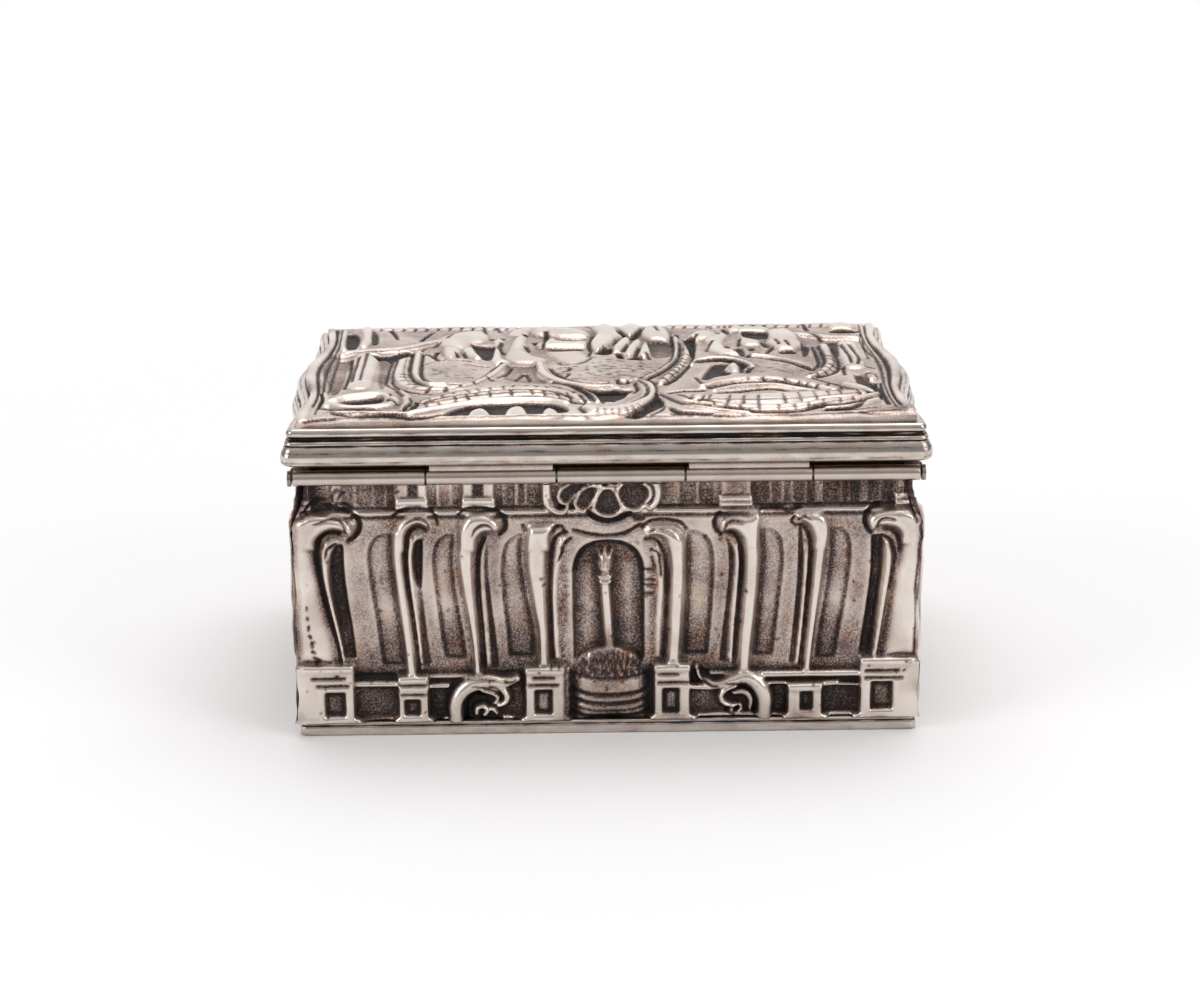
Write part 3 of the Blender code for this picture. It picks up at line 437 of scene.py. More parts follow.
# Narrow dark slots: left outline, right outline, floor
CORNER_SLOTS = tenths((
    ((-312, 96, -317, 130, -322, 160, -325.5, 190, -325, 220, -319, 237),
     (-298, 96, -301, 130, -305, 160, -309, 200, -309.5, 236), -4.5),
    ((298, 96, 301, 120, 306, 160, 310, 200, 310, 242), (312, 96, 316, 130, 320, 170, 323.5, 200, 324, 234),
     -4.5),
))
MIDDLE_SLOTS = tenths((
    ((-223.5, 182, -227.5, 200, -228.5, 220, -226, 236, -221, 245),
     (-219, 182, -217.5, 200, -216.5, 220, -216, 244), -3),
    ((-219, 86, -221, 120, -223, 184), (-209, 86, -213, 120, -219, 184), 0),
    ((132, 86, 135, 120, 139.5, 160, 143, 200, 142, 226, 139, 240),
     (141, 86, 143, 130, 147, 180, 149, 210, 148, 226, 142, 241), -1),
    ((215, 84, 219, 130, 223, 180, 224, 210, 224, 252), (222, 84, 227, 140, 230, 190, 231, 220, 229, 254),
     -1),
))
CENTRE_SLOTS = tenths((
    ((-150, 82, -152, 130, -155, 180, -154, 224, -146, 246),
     (-144, 82, -146.5, 130, -149.5, 180, -148.5, 220, -141, 245), -3),
    ((-138, 82, -141, 130, -144, 180, -144.5, 220, -141, 242),
     (-129, 82, -132, 120, -136.5, 160, -140, 200, -139.5, 240), -1),
))

# Pilasters and the ribs beside them: left outline, right outline, height
CORNER_PILASTERS = tenths((
    ((-385, 87, -385, 253), (-317, 87, -321, 110, -326, 135, -333, 165, -339.5, 200, -342, 225, -339, 243,
      -330, 253), 15),
    ((-315, 90, -318, 110, -323, 135, -330, 165, -336, 200, -337.5, 225, -333, 243),
     (-312, 90, -313.5, 110, -317.5, 135, -322, 165, -326, 190, -325.5, 220, -319, 242), 10),
    ((320, 89, 325, 120, 331, 160, 337, 195, 342, 220, 340, 242, 332, 254), (385, 89, 385, 254), 15),
    ((313, 92, 317, 130, 321, 170, 324.5, 200, 325, 225),
     (319, 92, 324, 120, 330, 160, 335, 195, 336, 220, 330, 238), 10),
))
MIDDLE_PILASTERS = tenths((
    ((-240, 74, -243, 110, -247, 150, -251, 190, -253, 220, -253, 256),
     (-225, 74, -227.5, 110, -231, 150, -236, 190, -238.5, 220, -237, 242, -232, 256), 12.5),
    ((-223.5, 80, -226.5, 120, -229.5, 150, -234, 190, -235, 220, -232, 242),
     (-219, 80, -220.5, 120, -223, 150, -227, 190, -228.5, 220, -225.5, 244), 8.5),
    ((-160, 74, -162, 110, -167, 145, -173, 180, -177.5, 215, -177, 245, -173, 263),
     (-149, 74, -151, 120, -153.5, 160, -155.5, 200, -154, 228, -149, 246), 13),
    ((152, 74, 153, 110, 156.5, 150, 159, 190, 158.5, 225, 153, 246),
     (170, 74, 173, 110, 177, 150, 180, 190, 181, 220, 179, 254), 13),
    ((143, 80, 144.5, 130, 148.5, 180, 150.5, 210, 149, 228),
     (148, 80, 150.5, 130, 154, 180, 156, 210, 153, 234), 8.5),
    ((230, 74, 234, 120, 237, 160, 240, 200, 241.5, 226, 238, 248),
     (241, 74, 246, 120, 251, 160, 256, 200, 259, 230, 261, 254), 12.5),
    ((222, 84, 227.5, 140, 231, 190, 232, 220), (226.5, 84, 231.5, 140, 235, 190, 236, 226), 8),
))
CENTRE_PILASTERS = tenths((
    ((-144.5, 86, -147, 130, -149.5, 180, -148.5, 220, -143, 242),
     (-138, 86, -141, 130, -144, 180, -144.5, 220, -142, 240), 5),
    ((-84, 84, -84, 124, -88.5, 150, -93.5, 180, -97.5, 205, -97.5, 230, -94, 262),
     (-67.5, 84, -68.5, 105, -69.5, 140, -70, 180, -68.5, 220, -65, 243, -59, 253), 14),
    ((-64, 92, -65.5, 120, -66.5, 180, -65, 210, -61, 234, -54, 244),
     (-55, 92, -57, 120, -59, 160, -58, 190, -53, 212, -48, 226), 8.5),
    ((66.5, 84, 69, 120, 70.5, 160, 71.5, 200, 70, 220, 64, 242),
     (88, 84, 89.5, 120, 92, 160, 93.5, 200, 93, 230, 88, 250), 14),
    ((53, 92, 55, 140, 59, 180, 57, 210, 52, 224), (63, 92, 65, 140, 67.5, 180, 66.5, 210, 61, 232), 8),
))

# Engraved lines: points, widths, depth
CORNER_LINES = tenths((
    ((-316, 91, -319, 110, -325, 135, -332, 165, -338.5, 200, -341, 225, -337, 245, -325, 253, -312, 250),
     (3.5, 5, 5, 4.5, 2.5), 5),
    ((-330, 222, -328, 232, -318, 239), (1.5, 4, 3), 3.5),
    ((332, 175, 336, 200, 338, 220, 332, 236, 322, 242), (1, 3, 3.5, 2.5), 3.5),
    ((343, 222, 342, 238, 334, 248, 324, 250), (3, 3, 2), 3.5),
))
MIDDLE_LINES = tenths((
    ((-223, 82, -227, 120, -230.5, 150, -235.5, 190, -237, 220, -235, 244, -228, 255, -219, 258, -212, 253),
     (2, 2.5, 3, 3.5, 2.5), 4),
    ((148.5, 83, 151.5, 120, 155.5, 170, 157.5, 205, 156, 230, 150, 244, 140, 249, 133, 245),
     (2, 3, 3.5, 2), 4),
    ((228.5, 83, 232, 120, 235, 160, 238, 200, 239, 225, 236, 244, 229, 255, 223, 255), (2.5, 3, 3.5, 3),
     4),
))
CENTRE_LINES = tenths((
    ((-66, 93, -67.2, 120, -68, 180, -66.5, 215, -63, 238, -56, 247, -47, 249), (2, 2, 2, 3.5), 3.5),
    ((66, 94, 68.5, 140, 70, 180, 69, 210, 64, 230, 55, 240, 44, 240), (2, 2, 3, 2.5), 3.5),
    ((-55, 220, -51, 234, -42, 242), (2, 3, 3), 3), ((-57, 216, -52, 228, -55, 232), (2, 3, 1.5), 3),
    ((51, 228, 59, 224, 62, 210, 63, 196), (2, 3.5, 1.5), 3), ((52, 218, 55, 206), (1.5, 2), 2.5),
))

# Crooks that the pilasters run into: outline, height
CORNER_CROOKS = tenths((
    ((-385, 230, -385, 262, -360, 274, -343, 279, -324, 276, -306, 271, -296, 263, -294, 253, -302, 244,
      -309, 251, -319, 254, -331, 250, -339, 241, -342, 228), 15.5),
    ((-336, 214, -336, 230, -330, 242, -320, 247, -312, 243, -314, 236, -322, 232, -326, 214), 11),
    ((385, 230, 385, 264, 360, 275, 342, 279, 322, 276, 309, 272, 302, 263, 304, 251, 312, 245, 319, 251,
      332, 251, 341, 245, 345, 228), 15.5),
))
MIDDLE_CROOKS = tenths((
    ((-252, 226, -251, 254, -245, 266, -232, 274, -217, 275, -205, 269, -201, 259, -206, 251, -213, 256,
      -221, 260, -229, 256, -234, 246, -236, 226), 13.5),
    ((-233, 226, -229, 246, -222, 252, -214, 249, -217, 242, -224, 238, -227, 226), 9.5),
    ((-177, 224, -176, 253, -171, 266, -162, 275, -147, 277, -132, 272, -123, 262, -125, 252, -132, 248,
      -142, 249, -150, 242, -154, 224), 14.5),
    ((180, 224, 181, 253, 183, 270, 175, 276, 164, 272, 150, 272, 136, 269, 129, 261, 130, 250, 136, 243,
      143, 248, 151, 246, 158, 236, 160, 224), 14.5),
    ((260, 224, 263, 246, 261, 264, 254, 272, 244, 275, 232, 274, 220, 272, 216, 266, 223, 262, 230, 258,
      236, 251, 240, 238, 241, 224), 13.5),
))
CENTRE_CROOKS = tenths((
    ((-98, 224, -97, 244, -92, 260, -74, 261, -62, 259, -65, 244, -68, 224), 14),
    ((94, 224, 92, 242, 85, 252, 75, 257, 60, 258, 48, 256, 43, 249, 45, 241, 52, 244, 62, 242, 69, 234, 71,
      224), 14.5),
))

# Shadowed gaps outside the crooks, lines on the crooks, and the corner column's pits: points, widths,
# depth
CORNER_GAPS = tenths((
    ((-357, 281, -350, 286, -342, 290, -329, 291), (3, 7, 6, 2), 3),
    ((-332, 285, -323, 283, -312, 286, -298, 282), (3, 5, 4, 5), 3),
    ((-320, 289, -320, 298, -314, 303, -309, 299, -313, 294), (3, 3.5, 3, 4), 3),
    ((-355, 164, -354.5, 160), (2, 2), 1), ((-354.5, 151, -354, 148), (2.5, 2), 1),
    ((-353, 140, -353, 135), (3, 2.5), 1.2), ((-352, 128, -350.5, 125), (3.5, 3), 1.2),
    ((-350, 119, -349, 114), (4, 3.5), 1.2), ((-349, 108, -346, 106), (5, 3.5), 1.5),
    ((-347, 100, -342, 96, -345, 92), (6, 8, 7), 1.5),
    ((369, 260, 366, 200, 364, 140, 364, 96), (2.5, 2.5, 2), 2),
    ((-316, 280, -300, 276, -291, 267, -290, 256, -296, 246, -304, 241), (3, 7, 7, 5, 3.5), 5),
    ((-342, 265, -326, 270, -313, 269, -307, 261, -306, 252), (1, 1.5, 2.5, 3, 1.5), 2),
    ((319, 280, 307, 274, 302, 263, 305, 252, 310, 244), (5, 5, 4.5, 3.5), 5),
    ((336, 264, 326, 266, 318, 262, 316, 253), (1, 3, 3.5, 3), 3),
    ((366, 296, 362, 280, 363, 260), (3, 4, 3), 3),
))
MIDDLE_GAPS = tenths((
    ((-250, 272, -237, 280, -217, 281, -203, 275, -198, 261), (4, 7, 7, 5, 3), 4),
    ((-238, 263, -222, 270, -210, 265, -208, 257), (1, 2, 2.5, 1.5), 2),
    ((-174, 272, -164, 280, -148, 281, -131, 277, -121, 268, -119, 256, -126, 247), (3, 6, 6, 7, 5), 4),
    ((-158, 248, -154, 257, -145, 262, -137, 260, -133, 253), (1, 2.5, 3, 2), 2),
    ((158, 262, 148, 264, 140, 260, 137, 251), (1, 3, 3.5, 2.5), 2.5),
    ((132, 272, 126, 262, 127, 252, 133, 245), (4, 4.5, 3.5), 4.5),
    ((224, 263, 231, 267.5, 238, 264), (1.5, 4, 2), 3), ((220, 267, 216, 260, 221, 255), (3, 3.5, 2), 3.5),
    ((179, 276, 200, 276, 213, 274, 226, 277), (4, 7, 5), 5),
))
CENTRE_GAPS = tenths((
    ((-64, 250, -60, 256, -53, 256, -50, 250), (3, 4, 3), 4),
    ((41, 254, 50, 262, 68, 264, 85, 260, 93, 252), (4, 4, 3.5, 3), 4), ((48, 250, 55, 253), (3, 3), 3),
    ((60, 253, 72, 251, 80, 245), (1, 2, 1), 1.2), ((-99, 259, -96, 252), (3, 2), 4),
))

# Plinths: left, right, top, window's left, right, low and high, heights of the grooves
CORNER_PLINTHS = tenths((
    (-385, -301, 89, (-336, -313, 25, 54), ((-352, -312, 73), (-346, -308, 63.5))),
    (299, 385, 92, (313, 338, 27, 61), ((305, 346, 76), (305, 350, 67))),
))
MIDDLE_PLINTHS = tenths((
    (-250, -213, 75, (-242, -224, 25, 44), ((-248, -216, 63.5), (-246, -216, 51.5))),
    (213, 255, 60, (229, 243, 27, 49), ()),
))
CENTRE_PLINTHS = tenths((
    (-99, -51, 84, (-87, -67, 25, 55), ((-89, -64, 71), (-94, -59, 62))),
    (54, 98, 86, (65, 84, 25, 55), ((59, 84, 74), (59, 96, 63.5))),
))

# Dark cells between the plinths: outline
CORNER_CELLS = tenths((
    (-299, 26, -294, 20, -260, 20, -252, 28, -252, 52, -260, 55, -294, 54, -299, 46),
    (257, 29, 263, 23, 294, 23, 299, 32, 299, 50, 292, 54, 261, 54, 257, 46),
))
MIDDLE_CELLS = tenths((
    (-213, 23, -206, 19, -195, 21, -193, 40, -193, 54, -203, 56, -213, 53),
    (192, 26, 200, 22, 209, 24, 211, 40, 210, 54, 200, 55, 192, 49),
    (-120, 23, -125, 36, -119, 52, -106, 59, -101, 46, -101, 26, -109, 19),
    (97, 30, 100, 50, 116, 52, 129, 48, 129, 34, 136, 26, 118, 22, 102, 23),
))

# Frieze: dark cells with ribs between them, left and right; and raised blocks
CORNER_FRIEZE = tenths((
    (-344, -322), (-309, -296), (-293, -274), (275, 282), (284, 295), (306, 319), (321, 334),
))
MIDDLE_FRIEZE = tenths((
    (-272, -259), (-257, -249), (-208, -199), (-196, -183), (-181, -170), (170, 190), (193, 204),
    (207, 215), (217, 231), (234, 243), (253, 273),
))
CENTRE_FRIEZE = tenths(((-130, -121), (-119, -108), (-103, -96), (-93, -77), (86, 104), (108, 124)))
CORNER_BLOCKS = ((-36.9, -34.6), (33.8, 36.9))
MIDDLE_BLOCKS = ((-24.6, -20.9), (-16.9, -13.1), (13.2, 17.0))
MIDDLE_WINDOWS = ((-23.2, -22.0), (-15.7, -14.4))

# Tiers of a block: inwards from its sides, low, high, level, how dark. Its grooves: inwards, up,
# widths, depth, how dark
BLOCK_TIERS = ((0.2, 29.0, FRIEZE_HIGH, 0.65, 0.35), (-0.1, 27.9, 29.3, 0.9, 0.0))
BLOCK_GROOVES = ((0.0, 28.6, (0.2, 0.25), 0.15, 0.6), (0.2, 29.4, (0.25, 0.2), 0.1, 0.7))

# Level bars between the plinths: left, right, low, high, level
BARS = tenths((
    (-300, -250, 59.5, 67, 9), (-300, -250, 50, 55, 7), (-300, -250, 18, 24, 8), (182, 300, 67, 75, 10),
    (182, 275, 57.5, 62, 8), (245, 300, 54, 58, 8), (190, 300, 18, 22, 8), (-214, -188, 57, 63, 8),
    (-214, -188, 18, 21, 7), (-126, -90, 18, 22, 8), (90, 182, 18, 23, 8), (-216, -160, 69, 75, 5),
    (120, 182, 69, 75, 5),
))

# Scrolls of the leaves between the plinths: points, widths, height
LEAF_BANDS = tenths((
    ((-181, 17, -181, 36, -175, 51, -161, 62, -143, 66, -124, 65, -108, 70), (18, 21, 22, 23, 22, 17, 11),
     15),
    ((-144, 60, -129, 58, -121, 50, -122, 41, -131, 36), (10, 12, 12, 6), 14.5),
    ((-150, 55, -136, 51, -131, 44, -136, 39), (6, 8, 5), 13.5),
    ((-157, 26, -156, 33, -148, 35, -144, 29, -148, 24), (7, 8, 6), 12.5),
    ((-146, 30, -138, 31, -132, 23), (6, 7, 3), 9),
    ((186, 19, 186, 42, 179, 59, 165, 68, 148, 64, 132, 59, 116, 57, 101, 57),
     (18, 22, 23, 22, 17, 13, 11, 8), 15),
    ((152, 58, 139, 53, 134, 44, 140, 35, 150, 33), (7, 10, 10, 6), 14.5),
    ((150, 48, 162, 49, 170, 40, 169, 26), (9, 11, 9, 4), 7),
    ((147, 24, 148, 32, 155, 34, 159, 29, 155, 24), (4, 5, 4), 12),
    ((105, 82, 110, 69, 122, 62, 132, 62), (4, 7, 7, 4), 14.5),
))
LEAF_LINES = tenths((
    ((-170, 19, -171, 36, -164, 48, -154, 51, -146, 47), (4, 6, 5, 3), 6),
    ((-149, 58, -137, 55, -132, 49), (1, 2, 1.5), 2.5),
    ((-142, 62, -129, 56, -127, 46, -131, 41), (1, 2, 1.5), 2.5),
    ((-166, 69, -150, 70, -134, 69), (0.8, 1.2, 0.8), 1), ((-162, 62, -146, 59, -133, 60), (1, 1.5, 1), 2),
    ((-123, 67, -116, 66, -109, 69), (3.5, 4, 2), 3), ((109, 80, 113, 67, 122, 59, 130, 58), (2, 4, 3), 5),
    ((139, 62, 152, 60, 163, 58), (1, 2.5, 1), 3.5),
    ((174, 22, 176, 38, 170, 50, 158, 54, 148, 51), (3, 4, 3, 2), 5),
    ((143, 31, 142, 24, 150, 20), (2.5, 3, 2.5), 4),
))

# Niche in the middle: its sides, and its floor's level
NICHE = (
    ((-4.0, 9.0), (-4.1, 14), (-4.1, 20), (-3.7, 21.8), (-2.9, 23.0), (-1.4, 23.7)),
    ((4.3, 9.0), (4.3, 14), (4.3, 20), (3.9, 21.8), (3.0, 23.0), (1.5, 23.7)),
)
NICHE_FLOOR = -0.35

# Film and lines round the niche: points, widths, depth, how dark. Brighter strips in it: points,
# widths, share
NICHE_FILM = (
    (((-5.1, 9.0), (-5.1, 20.6)), (1.7, 1.4), 0.0, 0.42),
    (((5.3, 9.0), (5.3, 20.6)), (1.7, 1.4), 0.0, 0.42),
)
NICHE_GLOW = (
    (((-2.3, 11.0), (-2.3, 20.5)), (2.6, 2.2), 0.7),
    (((2.4, 11.0), (2.4, 20.5)), (2.6, 2.2), 0.7),
)
NICHE_LINES = (
    (((-3.9, 9.4), (-3.9, 20.2)), (0.3, 0.3), 0.1, 0.5),
    (((4.1, 9.4), (4.1, 20.2)), (0.4, 0.4), 0.15, 0.8),
    (((-3.9, 20.2), (-3.4, 22.0), (-2.2, 23.2), (0.0, 23.8), (2.4, 23.2), (3.6, 22.0), (4.1, 20.2)),
     (0.5, 0.6, 0.5, 0.6, 0.5), 0.3, 1.0),
)

# Torch: its shaft's sides and height, its rings (up, width), its flame (outline, height, foot's level,
# slope), and the slits in the flame (foot, tip)
TORCH_SHAFT = (
    ((-0.4, 9.6), (-0.5, 11), (-0.8, 15), (-1.05, 19.2)),
    ((1.0, 9.6), (0.9, 11), (0.65, 15), (0.4, 19.2)),
)
TORCH_HEIGHT = 0.95
TORCH_MIDDLE = -0.3
TORCH_RINGS = ((18.9, 1.25), (19.5, 1.4))
TORCH_RING_HEIGHT = 1.15
TORCH_BUD = (
    ((-0.5, 19.6), (-1.05, 20.1), (-1.25, 20.9), (-1.2, 21.7), (-1.1, 22.9), (-0.7, 22.3), (-0.25, 23.3),
     (0.15, 22.3), (0.6, 22.9), (0.75, 21.7), (0.75, 20.9), (0.5, 20.1), (0.0, 19.6)), 1.15, 0.2, 1.4,
)
TORCH_SLITS = ((-0.8, -0.95), (-0.4, -0.45), (0.0, 0.05), (0.3, 0.5))

# Rings on the niche's jambs: how far up they are, and on each jamb left, right, widths, depth, how dark
JAMB_RINGS = (20.25, 19.0, 18.35, 17.3)
JAMBS = ((4.3, 5.5, (0.2, 0.3, 0.2), 0.3, 1.0), (-5.3, -4.5, (0.1, 0.2, 0.1), 0.15, 0.6))

# Mound: its sides and height, its film, the post beside it with its film, its steps (up, width, depth)
# and how they sag, the straws of its thatch (low, high, width, how many), and how round their ends lie
MOUND = (
    ((-4.4, 1.3), (-4.3, 4), (-4.3, 7), (-4.1, 8.4), (-3.5, 9.5), (-2.6, 10.2), (-1.0, 10.8)),
    ((5.0, 1.3), (5.0, 4), (4.8, 7), (4.4, 8.4), (3.8, 9.5), (2.8, 10.2), (1.2, 10.8)),
)
MOUND_HEIGHT = 1.25
MOUND_FILM = (((0.1, 1.2), (0.1, 10.4)), (11.0, 8.0), 0.0, 0.34)
MOUND_POST = (((-4.9, 1.8), (-4.9, 5.0), (-4.8, 8.0)), (0.9, 0.9, 0.7), 0.8)
MOUND_POST_FILM = (((-4.9, 1.8), (-4.9, 8.2)), (1.4, 1.4), 0.0, 0.45)
MOUND_STEPS = ((7.0, 0.4, 0.25), (4.9, 0.8, 0.3), (3.8, 0.8, 0.3), (2.9, 0.35, 0.15), (2.1, 0.8, 0.3))
STEP_SAG = ((-4.5, 0.35), (-2.2, 0.0), (0.0, -0.1), (2.4, 0.0), (4.6, 0.35))
THATCH = ((8.7, 9.6, 0.42, 11), (7.4, 8.1, 0.32, 9), (7.3, 10.2, 0.12, 40))
THATCH_ROUND = 0.04

# Shell: the height of its lobes' rims, how much of a lobe is sunk and to what level, its lobes, hooks,
# lines
LOBE_RIM = 0.95
LOBE_INSIDE = 0.8
LOBE_FLOOR = 0.3
SHELL_LOBES = tenths((
    (-59, 293, -55, 285, -46, 284, -39, 292, -27, 304, -18, 312, -34, 313, -53, 304),
    (9, 300, 13, 285, 22, 276, 34, 274, 44, 279, 53, 293, 50, 306, 35, 313, 19, 312),
    (-39, 285, -36, 277, -26, 274, -18, 283, -11, 297, -9, 304, -18, 308, -31, 300),
    (-18, 278, -11, 270, 2, 267, 13, 270, 19, 278, 12, 296, 5, 306, -5, 304, -12, 295),
))
SHELL_HOOKS = tenths((
    ((-70, 314, -71, 300, -69, 287, -62, 278, -52, 275, -46, 281), (12, 13, 13, 12, 10, 5), 11.5),
    ((53, 315, 58, 306, 59, 296, 56, 285, 50, 279, 45, 282), (11, 12, 12, 11, 9, 5), 11.5),
    ((-12, 310, -6, 305), (9, 7), 12), ((3, 313, 10, 309), (9, 8), 12),
))
SHELL_LINES = tenths((
    ((-68, 292, -65, 284, -56, 279, -49, 281), (1.5, 2.5, 2.5), 3),
    ((53, 306, 55, 296, 52, 288, 47, 284), (1.5, 2.5, 2), 3),
    ((-23, 276, -16, 267.5, 0, 263, 17, 266.5, 27, 273), (4, 8, 8, 7, 6), 5),
    ((-40, 252, -18, 246.5, 0, 245, 21, 247.5, 39, 258), (3, 4, 4, 4.5), 4),
    ((30, 269, 36, 265, 44, 266), (6, 9, 5), 1.5),
))

# Strip between the columns and the frieze: up and height; and its lines: up, width, depth
CORNICE_UP = 27.45
CORNICE_HEIGHT = 0.62
CORNICE_LINES = ((26.95, 0.22, 0.2), (28.05, 0.3, 0.25))

# Pits of the casting: low, high, and how many for each millimetre of the wall's half length
WALL_PITS = ((1.8, 8.8, 1.6), (8.8, 14.0, 1.1), (14.0, 25.0, 1.2), (27.9, 30.9, 1.5), (8.2, 9.4, 1.0))

# Relief at a long wall's left and right end; a short wall has them the other way round. First how far
# up and how high, then how much the frieze sinks there
CORNER_EDGES = tenths((
    ((18, 12.5), (60, 12.5), (86, 13), (93, 10), (160, 9.5), (220, 11), (264, 12), (278, 9), (286, 5),
     (309, 5.5)),
    ((18, 12.5), (60, 12.5), (86, 13), (93, 10), (160, 9.5), (220, 11), (260, 12.5), (274, 8), (290, 2),
     (309, -3)),
))
CORNER_SINKS = (0.0, 0.7)


# Bays: flutes, slots, pilasters, lines, crooks, gaps
CORNER_BAY = ((), CORNER_SLOTS, CORNER_PILASTERS, CORNER_LINES, CORNER_CROOKS, CORNER_GAPS)
MIDDLE_BAY = (MIDDLE_FLUTES, MIDDLE_SLOTS, MIDDLE_PILASTERS, MIDDLE_LINES, MIDDLE_CROOKS, MIDDLE_GAPS)
CENTRE_BAY = (CENTRE_FLUTES, CENTRE_SLOTS, CENTRE_PILASTERS, CENTRE_LINES, CENTRE_CROOKS, CENTRE_GAPS)


def draw_bay(relief, flutes, slots, pilasters, lines, crooks, gaps):
    """The leaning columns of one bay, from what is sunk to what stands proud."""
    for left, right in flutes:
        relief.flute(left, right, FLUTE_FLOOR, FLUTE_CREST)
    for left, right, floor in slots:
        relief.slot(left, right, floor)
    for left, right, height in pilasters:
        relief.pilaster(left, right, height)
    for outline, height in crooks:
        relief.petal(outline, height, CROOK_BASE, CROOK_SLOPE)
    for points, widths, depth in lines + gaps:
        relief.line(points, widths, depth)


def draw_plinths(relief, plinths, fill):
    """Plinths with grooves and a window each; the fill is how dark the window's middle is."""
    for left, right, top, (start, end, low, high), grooves in plinths:
        base = (
            (left - 0.5, PLINTH_FOOT), (right + 0.5, PLINTH_FOOT),
            (right + 0.1, PLINTH_BASE_TOP), (left - 0.1, PLINTH_BASE_TOP),
        )
        relief.block(left, right, PLINTH_FOOT, top, PLINTH_FACE, SLOPE)
        relief.field(base, PLINTH_BASE, SLOPE)
        relief.block(left, right, top - CAP_HEIGHT, top, PLINTH_CAP, SLOPE)
        for groove_start, groove_end, level in grooves:
            relief.line(((groove_start, level), (groove_end, level)), (0.2, 0.3, 0.2), 0.25)
        relief.block(start, end, low, high, PLINTH_WINDOW, CELL_SLOPE, 1.0)
        relief.block(start + 0.4, end - 0.4, low + 0.4, high - 0.45, PLINTH_WINDOW + 0.2, SLOPE, fill)


def add_pits(relief, left, right, low, high, count, seed):
    """Small dark pits and nicks, as in an old casting."""
    draws = np.random.default_rng(seed)
    for x, y in draws.uniform((left, low), (right, high), (count, 2)):
        size = draws.uniform(0.1, 0.35)
        run = draws.uniform(-0.25, 0.25, 2)
        relief.line(((x, y), (x + run[0], y + run[1])), (size, 0.7 * size), 0.25 * size, 0.9)


def draw_frieze(relief, cells, blocks, windows=()):
    """The dark cells under the hinge, the ribs between them, and the blocks over the pilasters."""
    for left, right in cells:
        relief.block(left, right, FRIEZE_CELL_LOW, FRIEZE_HIGH, FRIEZE_CELL, dark=0.5)
    for left, right in blocks:
        for inwards, low, high, level, dark in BLOCK_TIERS:
            relief.block(left + inwards, right - inwards, low, high, level, dark=dark)
        for inwards, up, widths, depth, dark in BLOCK_GROOVES:
            relief.line(((left + inwards, up), (right - inwards, up)), widths, depth, dark)
    for left, right in windows:
        relief.block(left, right, FRIEZE_WINDOW_LOW, FRIEZE_HIGH, FRIEZE_WINDOW, dark=1.0)


def draw_niche(relief):
    """The sunk arch of the middle bay with the torch in it, and the jambs' rings."""
    for points, widths, depth, dark in NICHE_FILM:
        relief.line(points, widths, depth, dark)
    relief.slot(*NICHE, NICHE_FLOOR, dark=0.5)
    for points, widths, share in NICHE_GLOW:
        relief.glow(points, widths, share)
    for points, widths, depth, dark in NICHE_LINES:
        relief.line(points, widths, depth, dark)
    relief.pilaster(*TORCH_SHAFT, TORCH_HEIGHT, swell=broad)
    for level, width in TORCH_RINGS:
        ring = ((TORCH_MIDDLE - width / 2, level), (TORCH_MIDDLE + width / 2, level))
        relief.band(ring, (0.55, 0.55), TORCH_RING_HEIGHT, base=0.4)
    relief.petal(*TORCH_BUD)
    for foot, tip in TORCH_SLITS:
        relief.line(((foot, 20.6), (tip, 22.4)), (0.1, 0.18, 0.14), 0.2, 0.6)
    for level in JAMB_RINGS:
        for left, right, widths, depth, dark in JAMBS:
            relief.line(((left, level), (right, level)), widths, depth, dark)


def draw_mound(relief):
    """The thatched mound at the niche's foot, with its sagging steps."""
    relief.pilaster(*MOUND, MOUND_HEIGHT, swell=broad)
    relief.line(*MOUND_FILM)
    relief.band(*MOUND_POST)
    relief.line(*MOUND_POST_FILM)
    for level, width, depth in MOUND_STEPS:
        step = [(x, level + sag) for x, sag in STEP_SAG]
        relief.line(step, (0.7 * width, width, 0.7 * width), depth, 0.9)
    draws = np.random.default_rng(THATCH_SEED)
    for low, high, width, count in THATCH:
        for x in np.linspace(-3.4, 3.6, count):
            lean = draws.uniform(0.1, 0.5)
            foot = low + draws.uniform(-0.2, 0.2) - THATCH_ROUND * x * x
            top = high - THATCH_ROUND * x * x + draws.uniform(-0.2, 0.2)
            relief.line(((x, foot), (x + lean, top)), (0.4 * width, width, 0.6 * width), 0.4 * width, 1.0)


def draw_shell(relief):
    """The shell under the middle of the hinge."""
    for outline in SHELL_LOBES:
        outline = in_pairs(outline)
        middle = outline.mean(axis=0)
        relief.field(outline, LOBE_RIM, SLOPE)
        relief.field(middle + LOBE_INSIDE * (outline - middle), LOBE_FLOOR, CELL_SLOPE, 0.72)
    for points, widths, height in SHELL_HOOKS:
        relief.band(points, widths, height, base=0.2)
    for points, widths, depth in SHELL_LINES:
        relief.line(points, widths, depth)


def level_path(up):
    """A level line from end to end of any wall."""
    return (-BEYOND_ENDS, up), (BEYOND_ENDS, up)


